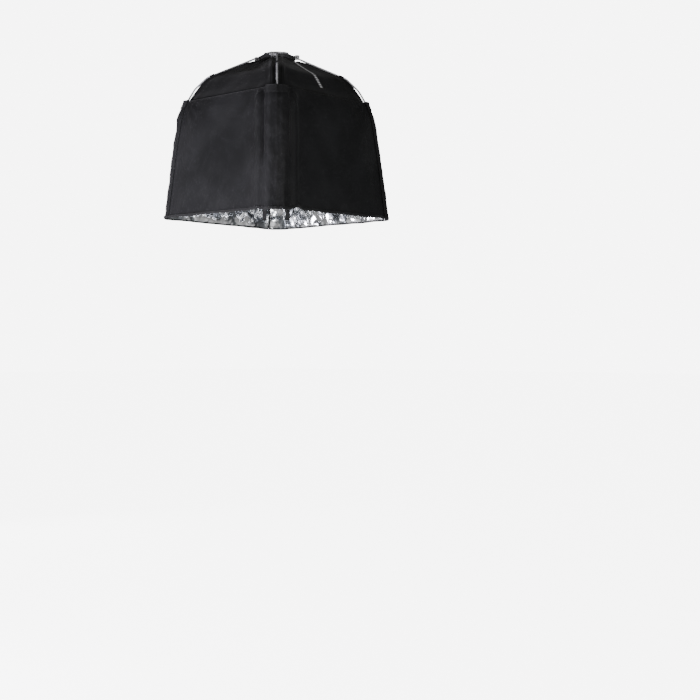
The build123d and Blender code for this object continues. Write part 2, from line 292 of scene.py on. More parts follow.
@dataclass
class SheetMesh:
    """A sheet of cloth with a thickness, made from a grid of points on its outer face."""

    name: str
    points: Grid
    thickness: float
    finish: Material
    spread: Grid | None = None

    def normals(self) -> Grid:
        """Unit normals of the grid, from its neighbours.

        Returns:
            One normal for each point.
        """
        du = np.gradient(self.points, axis=1)
        dv = np.gradient(self.points, axis=0)
        n = np.cross(du, dv)
        return n / np.maximum(np.linalg.norm(n, axis=-1, keepdims=True), 1e-12)

    def build(self) -> Object:
        """Makes the object: both faces of the sheet and its rims.

        Returns:
            The new mesh object, in the frame.
        """
        rows, cols = self.points.shape[:2]
        back = self.points - self.normals() * self.thickness
        verts = np.concatenate([self.points.reshape(-1, 3), back.reshape(-1, 3)])
        index = np.arange(rows * cols).reshape(rows, cols)
        a, b, c, d = index[:-1, :-1], index[:-1, 1:], index[1:, 1:], index[1:, :-1]
        front = np.stack([a, b, c, d], axis=-1).reshape(-1, 4)
        rear = front[:, ::-1] + rows * cols
        ring = np.concatenate([index[0, :], index[1:, -1], index[-1, -2::-1], index[-2:0:-1, 0]])
        after = np.roll(ring, -1)
        rim = np.stack([after, ring, ring + rows * cols, after + rows * cols], axis=-1)
        faces = np.concatenate([front, rear, rim])
        obj = mesh_object(self.name, verts, faces, self.finish)
        self.lay_out(obj.data, np.concatenate([self.flat().reshape(-1, 2)] * 2))
        return obj

    def flat(self) -> Grid:
        """Each grid point's place on the flat cloth, in metres.

        Returns:
            Two coordinates for each point.
        """
        if self.spread is not None:
            return self.spread
        across = np.linalg.norm(np.diff(self.points, axis=1), axis=-1)
        along = np.linalg.norm(np.diff(self.points, axis=0), axis=-1)
        u = np.concatenate([np.zeros((len(across), 1)), np.cumsum(across, axis=1)], axis=1)
        v = np.concatenate([np.zeros((1, along.shape[1])), np.cumsum(along, axis=0)], axis=0)
        return np.stack([u, v], axis=-1)

    @staticmethod
    def lay_out(mesh: bpy.types.Mesh, flat: Grid) -> None:
        """Writes each vertex's flat place as the mesh's UV layer, in metres.

        Args:
            mesh: The mesh.
            flat: Each vertex's place on the flat cloth.
        """
        loops = np.zeros(len(mesh.loops), np.int32)
        mesh.loops.foreach_get("vertex_index", loops)
        layer = mesh.uv_layers.new(name="Cloth")
        layer.data.foreach_set("uv", flat[loops].astype(np.float32).ravel())


def mesh_object(name: str, verts: Grid, faces: Grid, finish: Material, sharp: float = 40.0) -> Object:
    """A smooth-shaded mesh object from arrays of vertices and faces.

    Args:
        name: The object's name.
        verts: Vertex places in the frame.
        faces: Vertex numbers, one row for each face.
        finish: The material.
        sharp: Edges that turn by more than this many degrees are shaded sharp.

    Returns:
        The new object, linked into the scene.
    """
    mesh = bpy.data.meshes.new(name)
    mesh.from_pydata(verts.tolist(), [], [list(f) for f in faces])
    mesh.validate()
    mesh.materials.append(finish)
    mesh.shade_smooth()
    mesh.set_sharp_from_angle(angle=math.radians(sharp))
    obj = bpy.data.objects.new(name, mesh)
    bpy.context.scene.collection.objects.link(obj)
    return obj


def tube_along(name: str, line: Grid, section: Grid, up: Grid, finish: Material) -> Object:
    """A closed bar whose cross-section follows a line.

    Args:
        name: The object's name.
        line: Points along the bar, one row each.
        section: The cross-section's corners as (sideways, upwards) offsets.
        up: The upward direction at each point.
        finish: The material.

    Returns:
        The new object.
    """
    along = np.gradient(line, axis=0)
    along /= np.linalg.norm(along, axis=1, keepdims=True)
    side = np.cross(along, up)
    side /= np.linalg.norm(side, axis=1, keepdims=True)
    rise = np.cross(side, along)
    rings = line[:, None] + side[:, None] * section[None, :, :1] + rise[:, None] * section[None, :, 1:]
    n, k = rings.shape[:2]
    index = np.arange(n * k).reshape(n, k)
    nxt = np.roll(index, -1, axis=1)
    sides = np.stack([index[:-1], nxt[:-1], nxt[1:], index[1:]], axis=-1).reshape(-1, 4).tolist()
    ends = [index[0][::-1].tolist(), index[-1].tolist()]
    obj = mesh_object(name, rings.reshape(-1, 3), sides + ends, finish, sharp=50.0)
    lengths = run_length(line)
    girth = np.linalg.norm(np.diff(section, axis=0, append=section[:1]), axis=1)
    around = np.concatenate([[0.0], np.cumsum(girth)[:-1]])
    flat = np.stack(np.broadcast_arrays(around[None, :], lengths[:, None]), axis=-1)
    SheetMesh.lay_out(obj.data, flat.reshape(-1, 2))
    return obj


def joined(objects: Sequence[Object], name: str) -> Object:
    """Several mesh objects as one, under one name.

    Args:
        objects: The objects. The first takes in the others.
        name: The object's name.

    Returns:
        The one object.
    """
    bpy.ops.object.select_all(action="DESELECT")
    for obj in objects:
        obj.select_set(True)
    bpy.context.view_layer.objects.active = objects[0]
    bpy.ops.object.join()
    objects[0].name = name
    objects[0].data.name = name
    return objects[0]


@dataclass(frozen=True)
class Stitching:
    """A row of lock stitches, each a small rounded bar of thread lying on the cloth."""

    pitch: float = 0.0055
    length: float = 0.0040
    thick: float = 0.0006
    proud: float = 0.0002

    def row(self, name: str, line: Grid, normal: Grid, thread: Material) -> Object:
        """Stitches along a line on a sheet.

        Args:
            name: The object's name.
            line: Points along the row, on the cloth's face.
            normal: The face's unit normal at each point.
            thread: The thread's material.

        Returns:
            One object that holds the whole row.
        """
        run = run_length(line)
        starts = np.arange(self.pitch / 2, run[-1] - self.length, self.pitch)
        verts, faces = [], []
        for start in starts:
            base = len(verts)
            for share, girth in ((0.0, 0.35), (0.2, 1.0), (0.8, 1.0), (1.0, 0.35)):
                at = start + share * self.length
                p = np.array([np.interp(at, run, line[:, i]) for i in range(3)])
                n = np.array([np.interp(at, run, normal[:, i]) for i in range(3)])
                q = np.array([np.interp(at + 1e-4, run, line[:, i]) for i in range(3)])
                side = np.cross(q - p, n)
                side /= np.linalg.norm(side)
                radius = self.thick / 2 * girth
                for s, u in ((1.0, 0.0), (0.3, 1.0), (-0.3, 1.0), (-1.0, 0.0), (0.0, -0.7)):
                    verts.append(p + side * s * radius + n * (u * radius + self.proud))
            for ring in range(3):
                a = base + ring * 5
                faces += [[a + i, a + (i + 1) % 5, a + 5 + (i + 1) % 5, a + 5 + i] for i in range(5)]
            faces += [[base + i for i in range(4, -1, -1)], [base + 15 + i for i in range(5)]]
        return mesh_object(name, np.array(verts), faces, thread, sharp=80.0)


# ---------------------------------------------------------------- shader graphs


@dataclass
class Graph:
    """A node tree with short ways to add and join nodes."""

    tree: Tree

    def add(self, kind: str, **settings: object) -> Node:
        """Adds a node. Settings are its properties.

        Args:
            kind: The node's type.
            settings: Its properties.

        Returns:
            The new node.
        """
        node = self.tree.nodes.new(kind)
        for key, value in settings.items():
            setattr(node, key, value)
        return node

    def join(self, out: Socket, into: Socket) -> None:
        """Links an output to an input."""
        self.tree.links.new(out, into)

    def feed(self, node: Node, values: dict[str | int, object]) -> Node:
        """Sets or links a node's inputs.

        Args:
            node: The node.
            values: Its input names or numbers, with a value or an output for each.

        Returns:
            The same node.
        """
        for key, value in values.items():
            if isinstance(value, Socket):
                self.join(value, node.inputs[key])
            else:
                node.inputs[key].default_value = value
        return node

    def maths(self, operation: str, *values: object) -> Socket:
        """The result of a Math node."""
        node = self.add("ShaderNodeMath", operation=operation)
        return self.feed(node, dict(enumerate(values))).outputs[0]

    def noise(self, vector: Socket, scale: object, detail: float = 3.0, roughness: float = 0.5) -> Socket:
        """The factor of a Noise texture.

        Args:
            vector: Where the texture is read.
            scale: The texture's scale.
            detail: Its detail.
            roughness: Its roughness.

        Returns:
            The factor.
        """
        node = self.add("ShaderNodeTexNoise")
        self.feed(node, {"Vector": vector, "Scale": scale, "Detail": detail, "Roughness": roughness})
        return node.outputs["Fac"]

    def span(
        self, value: Socket, low: float, high: float, to_low: float = 0.0, to_high: float = 1.0
    ) -> Socket:
        """A value carried smoothly from one range to another.

        Args:
            value: The value.
            low: The range's start.
            high: The range's end.
            to_low: What the range's start becomes.
            to_high: What its end becomes.

        Returns:
            The carried value.
        """
        node = self.add("ShaderNodeMapRange", interpolation_type="SMOOTHSTEP")
        self.feed(node, {0: value, 1: low, 2: high, 3: to_low, 4: to_high})
        return node.outputs[0]

    def mix(self, share: object, first: object, second: object) -> Socket:
        """A mix of two colours.

        Args:
            share: The second colour's share.
            first: The first colour.
            second: The second colour.

        Returns:
            The mixed colour.
        """
        node = self.add("ShaderNodeMix", data_type="RGBA")
        self.feed(node, {0: share, 6: first, 7: second})
        return node.outputs[2]


def colour(*rgb: float) -> tuple[float, float, float, float]:
    """A linear colour with full alpha."""
    return (*rgb, 1.0)


def group(name: str, inputs: dict[str, tuple[str, object]], outputs: dict[str, str]) -> tuple[Graph, Node, Node]:
    """A new shader node group.

    Args:
        name: The group's name.
        inputs: Input names with their socket kind and default.
        outputs: Output names with their socket kind.

    Returns:
        The group's graph with its input and output nodes.
    """
    tree = bpy.data.node_groups.new(name, "ShaderNodeTree")
    for key, (kind, default) in inputs.items():
        socket = tree.interface.new_socket(name=key, in_out="INPUT", socket_type=f"NodeSocket{kind}")
        if default is not None:
            socket.default_value = default
    for key, kind in outputs.items():
        tree.interface.new_socket(name=key, in_out="OUTPUT", socket_type=f"NodeSocket{kind}")
    graph = Graph(tree)
    return graph, graph.add("NodeGroupInput"), graph.add("NodeGroupOutput")


class SharedEffects:
    """The effects that several materials use, each a node group that is built once."""

    @staticmethod
    @cache
    def weave() -> Tree:
        """A plain weave over the flat cloth: a height and a mask of the gaps between threads.

        Returns:
            The node group.
        """
        graph, start, end = group(
            "plain_weave",
            {"Flat": ("Vector", None), "Thread": ("Float", 0.0008), "Slub": ("Float", 0.3)},
            {"Height": "Float", "Gap": "Float"},
        )
        split = graph.feed(graph.add("ShaderNodeSeparateXYZ"), {0: start.outputs["Flat"]})
        waves = []
        for axis in (0, 1):
            turns = graph.maths("DIVIDE", split.outputs[axis], start.outputs["Thread"])
            waves.append(graph.maths("SINE", graph.maths("MULTIPLY", turns, math.pi)))
        over = graph.maths("MULTIPLY", *waves)
        crowns = graph.maths("MAXIMUM", *[graph.maths("ABSOLUTE", wave) for wave in waves])
        slub = graph.noise(start.outputs["Flat"], 900.0, 2.0)
        loose = graph.maths("MULTIPLY", slub, start.outputs["Slub"])
        height = graph.maths("ADD", graph.maths("MULTIPLY_ADD", over, 0.35, crowns), loose)
        graph.feed(end, {"Height": height, "Gap": graph.span(crowns, 0.75, 0.35)})
        return graph.tree

    @staticmethod
    @cache
    def creases_and_highlight() -> Tree:
        """Soft creases: a height, and a mask of painted highlight along the crease lines, broken up by fine noise.

        Returns:
            The node group.
        """
        graph, start, end = group(
            "handling_marks",
            {"Place": ("Vector", None), "Size": ("Float", 9.0)},
            {"Height": "Float", "CreaseHighlight": "Float"},
        )
        broad = graph.noise(start.outputs["Place"], start.outputs["Size"], 4.0, 0.55)
        ridge = graph.maths("ABSOLUTE", graph.maths("SUBTRACT", broad, 0.5))
        fine = graph.noise(start.outputs["Place"], 140.0, 3.0)
        height = graph.maths("SUBTRACT", graph.span(ridge, 0.0, 0.12), 1.0)
        # painted highlight along the crease lines
        crease_highlight = graph.maths("MULTIPLY", graph.span(ridge, 0.05, 0.0), graph.span(fine, 0.45, 0.62))
        graph.feed(end, {"Height": height, "CreaseHighlight": crease_highlight})
        return graph.tree

    @staticmethod
    @cache
    def dust() -> Tree:
        """Sparse lint and dust: a mask.

        Returns:
            The node group.
        """
        graph, start, end = group("lint", {"Place": ("Vector", None), "Amount": ("Float", 0.5)}, {"Mask": "Float"})
        speck = graph.noise(start.outputs["Place"], 420.0, 1.0)
        patch = graph.noise(start.outputs["Place"], 14.0, 2.0)
        dots = graph.span(speck, 0.70, 0.76)
        mask = graph.maths("MULTIPLY", graph.maths("MULTIPLY", dots, patch), start.outputs["Amount"])
        graph.feed(end, {"Mask": mask})
        return graph.tree

    @staticmethod
    @cache
    def edge_wear() -> Tree:
        """Wear where a surface bends outwards: a mask, broken up by noise.

        Returns:
            The node group.
        """
        graph, start, end = group(
            "edge_wear", {"Place": ("Vector", None), "Grain": ("Float", 200.0)}, {"Mask": "Float"}
        )
        edge = graph.add("ShaderNodeNewGeometry")
        sharp = graph.span(edge.outputs["Pointiness"], 0.56, 0.70, 0.0, 0.45)
        broken = graph.span(graph.noise(start.outputs["Place"], start.outputs["Grain"]), 0.35, 0.6)
        graph.feed(end, {"Mask": graph.maths("MULTIPLY", sharp, broken)})
        return graph.tree


@dataclass
class Shader:
    """A material with one Principled shader and short ways to dress it."""

    name: str
    graph: Graph = field(init=False)
    bsdf: Node = field(init=False)
    material: Material = field(init=False)

    def __post_init__(self) -> None:
        """Makes the material with its shader and output."""
        self.material = bpy.data.materials.new(self.name)
        self.material.use_nodes = True
        self.material.node_tree.nodes.clear()
        self.graph = Graph(self.material.node_tree)
        self.bsdf = self.graph.add("ShaderNodeBsdfPrincipled")
        out = self.graph.add("ShaderNodeOutputMaterial")
        self.graph.join(self.bsdf.outputs[0], out.inputs[0])

    def place(self) -> Socket:
        """Places on the piece, in metres."""
        return self.graph.add("ShaderNodeTexCoord").outputs["Object"]

    def flat(self) -> Socket:
        """Places on the flat cloth, in metres."""
        return self.graph.add("ShaderNodeUVMap", uv_map="Cloth").outputs["UV"]

    def use(self, tree: Tree, **inputs: object) -> Node:
        """Places a node group with its own values."""
        node = self.graph.add("ShaderNodeGroup", node_tree=tree)
        return self.graph.feed(node, inputs)

    def set(self, **values: object) -> None:
        """Sets or links the shader's sockets, named with underscores for spaces."""
        self.graph.feed(self.bsdf, {key.replace("_", " "): value for key, value in values.items()})

    def bump(self, height: Socket, distance: float, strength: float = 1.0, under: Socket | None = None) -> Socket:
        """A bump's normal, over another bump's if one is given.

        Args:
            height: The height.
            distance: How deep the height's full range is.
            strength: How strongly it shows.
            under: The other bump's normal.

        Returns:
            The normal.
        """
        node = self.graph.add("ShaderNodeBump")
        self.graph.feed(node, {"Height": height, "Distance": distance, "Strength": strength})
        if under is not None:
            self.graph.join(under, node.inputs["Normal"])
        return node.outputs["Normal"]


# ---------------------------------------------------------------- finishes


@dataclass(frozen=True)
class CoatedNylon:
    """Black coated nylon: a fine plain weave with a soft sheen."""

    name: str = "coated_nylon"
    dark: tuple[float, float, float] = (0.0075, 0.0075, 0.0080)
    light: tuple[float, float, float] = (0.0125, 0.0125, 0.0135)
    thread: float = 0.0007

    def material(self) -> Material:
        """Builds the material.

        Returns:
            The material.
        """
        s = Shader(self.name)
        g, place = s.graph, s.place()
        weave = s.use(SharedEffects.weave(), Flat=s.flat(), Thread=self.thread)
        marks = s.use(SharedEffects.creases_and_highlight(), Place=place, Size=7.0)
        lint = s.use(SharedEffects.dust(), Place=place, Amount=0.5)
        cloudy = g.span(g.noise(place, 5.0, 4.0), 0.3, 0.7)
        base = g.mix(cloudy, colour(*self.dark), colour(*self.light))
        base = g.mix(g.maths("MULTIPLY", weave.outputs["Gap"], 0.5), base, colour(0.003, 0.003, 0.0035))
        # painted highlight: lighter nylon along the crease lines
        base = g.mix(g.maths("MULTIPLY", marks.outputs["CreaseHighlight"], 0.25), base, colour(0.03, 0.03, 0.032))
        base = g.mix(lint.outputs["Mask"], base, colour(0.10, 0.10, 0.11))
        fold = s.bump(marks.outputs["Height"], 0.0008, 0.35)
        normal = s.bump(weave.outputs["Height"], 0.00012, 0.5, fold)
        s.set(Base_Color=base, Normal=normal, Roughness=g.span(cloudy, 0.0, 1.0, 0.50, 0.62))
        s.set(Specular_IOR_Level=0.22, Sheen_Weight=0.06, Sheen_Roughness=0.4)
        return s.material


@dataclass(frozen=True)
class Webbing:
    """Woven tape: ribs across it, in a matt thread."""

    name: str = "binding_tape"
    dark: tuple[float, float, float] = (0.004, 0.004, 0.0045)
    light: tuple[float, float, float] = (0.010, 0.010, 0.011)
    rib: float = 0.0014

    def material(self) -> Material:
        """Builds the material.

        Returns:
            The material.
        """
        s = Shader(self.name)
        g, place = s.graph, s.place()
        weave = s.use(SharedEffects.weave(), Flat=s.flat(), Thread=self.rib, Slub=0.5)
        lint = s.use(SharedEffects.dust(), Place=place, Amount=0.8)
        fuzz = g.span(g.noise(place, 260.0, 4.0), 0.35, 0.7)
        base = g.mix(fuzz, colour(*self.dark), colour(*self.light))
        base = g.mix(lint.outputs["Mask"], base, colour(0.08, 0.08, 0.08))
        s.set(Base_Color=base, Normal=s.bump(weave.outputs["Height"], 0.00035, 0.8))
        s.set(Roughness=g.span(fuzz, 0.0, 1.0, 0.72, 0.9), Specular_IOR_Level=0.25)
        s.set(Sheen_Weight=0.05, Sheen_Roughness=0.6)
        return s.material


@dataclass(frozen=True)
class SilverCloth:
    """Crinkled metallised cloth: bright, with small sharp creases and dark, rougher patches painted in as shade and
    dark reflections.
    """

    name: str = "silver_cloth"
    bright: tuple[float, float, float] = (0.86, 0.87, 0.88)
    painted_shade: tuple[float, float, float] = (0.17, 0.18, 0.19)

    def material(self) -> Material:
        """Builds the material.

        Returns:
            The material.
        """
        s = Shader(self.name)
        g, place = s.graph, s.place()
        weave = s.use(SharedEffects.weave(), Flat=s.flat(), Thread=0.0009)
        cell = g.add("ShaderNodeTexVoronoi", feature="DISTANCE_TO_EDGE")
        wander = g.noise(place, 30.0, 2.0)
        shift = g.add("ShaderNodeVectorMath", operation="ADD")
        g.feed(shift, {0: place, 1: g.maths("MULTIPLY", wander, 0.03)})
        g.feed(cell, {"Vector": shift.outputs[0], "Scale": 16.0})
        crease = g.span(cell.outputs["Distance"], 0.0, 0.30)
        lumps = g.noise(place, 16.0, 1.0)
        # painted shade: dark, rougher patches stand in for shade and dark reflections on the lining
        wear_and_painted_shade = g.span(g.noise(place, 21.0, 2.0), 0.44, 0.58)
        base = g.mix(wear_and_painted_shade, colour(*self.bright), colour(*self.painted_shade))
        folds = s.bump(crease, 0.0012, 0.35)
        pebbles = s.bump(lumps, 0.0180, 0.8, folds)
        normal = s.bump(weave.outputs["Height"], 0.00006, 0.25, pebbles)
        s.set(Base_Color=base, Metallic=1.0, Normal=normal, Roughness=g.span(wear_and_painted_shade, 0.0, 1.0, 0.13, 0.26))
        return s.material


@dataclass(frozen=True)
class DrawnMetal:
    """Metal rod or plate with fine lines along it and light scuffs."""

    name: str
    base: tuple[float, float, float]
    roughness: float
    streak: float = 500.0
    metal: float = 1.0

    def material(self) -> Material:
        """Builds the material.

        Returns:
            The material.
        """
        s = Shader(self.name)
        g, place = s.graph, s.place()
        wear = s.use(SharedEffects.edge_wear(), Place=place, Grain=180.0)
        stretched = g.add("ShaderNodeMapping")
        g.feed(stretched, {"Vector": place, "Scale": (1.0, 1.0, 0.06)})
        lines = g.noise(stretched.outputs[0], self.streak, 3.0)
        smudge = g.span(g.noise(place, 30.0, 3.0), 0.35, 0.7)
        darker = colour(*[c * 0.84 for c in self.base])
        lighter = colour(*[min(1.0, c * 1.2 + 0.05) for c in self.base])
        base = g.mix(smudge, colour(*self.base), darker)
        base = g.mix(wear.outputs["Mask"], base, lighter)
        spread = g.maths("MULTIPLY_ADD", smudge, 0.14, self.roughness)
        s.set(Base_Color=base, Metallic=self.metal, Roughness=spread, Normal=s.bump(lines, 0.0001, 0.35))
        return s.material


@dataclass(frozen=True)
class Anodised:
    """Black anodised aluminium that shows bare metal on its worn edges."""

    name: str = "black_anodised"
    base: tuple[float, float, float] = (0.022, 0.022, 0.024)

    def material(self) -> Material:
        """Builds the material.

        Returns:
            The material.
        """
        s = Shader(self.name)
        g, place = s.graph, s.place()
        wear = s.use(SharedEffects.edge_wear(), Place=place, Grain=240.0)
        lint = s.use(SharedEffects.dust(), Place=place, Amount=0.6)
        grain = g.noise(place, 2500.0, 2.0)
        base = g.mix(wear.outputs["Mask"], colour(*self.base), colour(0.16, 0.16, 0.165))
        base = g.mix(lint.outputs["Mask"], base, colour(0.2, 0.2, 0.2))
        s.set(Base_Color=base, Metallic=g.span(wear.outputs["Mask"], 0.0, 1.0, 0.35, 0.8))
        s.set(Roughness=g.span(grain, 0.3, 0.7, 0.38, 0.52), Normal=s.bump(grain, 0.00006, 0.5))
        return s.material


@dataclass(frozen=True)
class MouldedPlastic:
    """Black moulded plastic with a fine spark-eroded texture."""

    name: str = "moulded_plastic"
    base: tuple[float, float, float] = (0.02, 0.02, 0.021)

    def material(self) -> Material:
        """Builds the material.

        Returns:
            The material.
        """
        s = Shader(self.name)
        g, place = s.graph, s.place()
        wear = s.use(SharedEffects.edge_wear(), Place=place, Grain=300.0)
        pits = g.noise(place, 1800.0, 2.0)
        base = g.mix(g.maths("MULTIPLY", wear.outputs["Mask"], 0.5), colour(*self.base), colour(0.09, 0.09, 0.09))
        s.set(Base_Color=base, Roughness=g.span(pits, 0.3, 0.7, 0.5, 0.68), Normal=s.bump(pits, 0.0001, 0.6))
        return s.material


@dataclass(frozen=True)
class PatchWeave:
    """A dark tape with a pale band woven in short plain lengths, and no lettering."""

    name: str = "patch_weave"
    pale: tuple[float, float, float] = (0.60, 0.60, 0.61)
    dark: tuple[float, float, float] = (0.030, 0.030, 0.033)
    bar: float = 0.0135
    band: float = 0.0072

    def material(self) -> Material:
        """Builds the material.

        Returns:
            The material.
        """
        s = Shader(self.name)
        g, flat = s.graph, s.flat()
        weave = s.use(SharedEffects.weave(), Flat=flat, Thread=0.0009, Slub=0.5)
        length = g.feed(g.add("ShaderNodeSeparateXYZ"), {0: flat}).outputs[1]
        across = g.maths("ABSOLUTE", g.feed(g.add("ShaderNodeSeparateXYZ"), {0: flat}).outputs[0])
        wave = g.maths("SINE", g.maths("MULTIPLY", length, 2 * math.pi / self.bar))
        bars = g.maths("MULTIPLY", g.span(wave, -0.72, -0.45), g.span(across, self.band, self.band - 0.0012))
        wear_and_painted_shade = g.span(g.noise(s.place(), 120.0, 3.0), 0.55, 0.75, 0.0, 0.5)
        base = g.mix(bars, colour(*self.dark), colour(*self.pale))
        base = g.mix(wear_and_painted_shade, base, colour(0.30, 0.30, 0.31))
        s.set(Base_Color=base, Roughness=g.span(wear_and_painted_shade, 0.0, 0.5, 0.6, 0.8), Sheen_Weight=0.2)
        s.set(Normal=s.bump(weave.outputs["Height"], 0.0002, 0.7))
        return s.material


@dataclass(frozen=True)
class Thread:
    """Sewing thread: two plies twisted together."""

    name: str = "sewing_thread"
    base: tuple[float, float, float] = (0.017, 0.017, 0.019)

    def material(self) -> Material:
        """Builds the material.

        Returns:
            The material.
        """
        s = Shader(self.name)
        g = s.graph
        twist = g.noise(s.place(), 1600.0, 2.0)
        shade = g.mix(g.span(twist, 0.35, 0.65), colour(*[c * 0.5 for c in self.base]), colour(*self.base))
        s.set(Base_Color=shade, Roughness=g.span(twist, 0.3, 0.7, 0.5, 0.75), Normal=s.bump(twist, 0.0002, 0.6))
        return s.material


class Finishes:
    """Every material of the softbox, made once."""

    def __init__(self) -> None:
        """Builds the materials."""
        self.nylon = CoatedNylon().material()
        self.tape = Webbing().material()
        self.silver = SilverCloth().material()
        self.patch = PatchWeave().material()
        self.thread = Thread().material()
        self.rod = DrawnMetal("satin_rod", (0.62, 0.62, 0.64), 0.42, metal=0.35).material()
        self.plate = DrawnMetal("brushed_plate", (0.60, 0.60, 0.61), 0.36, metal=0.55).material()
        self.screw = DrawnMetal("plated_screw", (0.42, 0.42, 0.43), 0.28, 900.0).material()
        self.adapter = DrawnMetal("turned_adapter", (0.66, 0.66, 0.68), 0.30, 800.0, 0.8).material()
        self.anodised = Anodised().material()
        self.plastic = MouldedPlastic().material()


# ---------------------------------------------------------------- cloth


@dataclass(frozen=True)
class ClothBlend:
    """Sizes of a half panel between the speed ring's body and its corner's rib. It only bakes a piece's transform
    and does not bend it.
    """

    reach: float = 0.299
    width: float = 0.2518

    def wall(self, obj: Object, wall: Wall, side: Half) -> None:
        """Bakes a half wall's transform into its mesh, without bending it."""
        end = turn(np.array([0.0, side * self.width, 0.0]), wall.angle)
        tuple(end)
        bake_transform(obj)

    def roof(self, obj: Object, wall: Wall, side: Half) -> None:
        """Bakes a half roof panel's transform into its mesh, without bending it.

        Args:
            obj: The piece.
            wall: The wall.
            side: Which half of it.
        """
        half = self.width / 2
        end = turn(np.array([self.reach - half, side * half, 0.0]), wall.angle)
        tuple(end)
        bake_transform(obj)


@dataclass
class SoftPart:
    """What every cloth sub-assembly shares."""

    outline: Outline
    finishes: Finishes
    blend: ClothBlend = ClothBlend()

    def report(self, obj: Object, slot: str, *replaced: str) -> Object:
        """Hides the nodes that the piece stands for, and logs it.

        Args:
            obj: The piece.
            slot: Not used.
            replaced: The nodes that it stands for.

        Returns:
            The same piece.
        """
        if replaced:
            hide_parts(*replaced)
        LOG.info("made %s, %d faces", obj.name, len(obj.data.polygons))
        return obj

    def stitches(self, name: str, line: Grid, normal: Grid) -> Object:
        """A row of stitches in the box's own thread."""
        return Stitching().row(name, line, normal, self.finishes.thread)

    def on_rib(self, obj: Object, corner: Corner, slot: str, *replaced: str) -> None:
        """Makes a finished piece ride on a corner's rib, and reports it."""
        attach(obj, corner.body)
        self.report(obj, slot, *replaced)


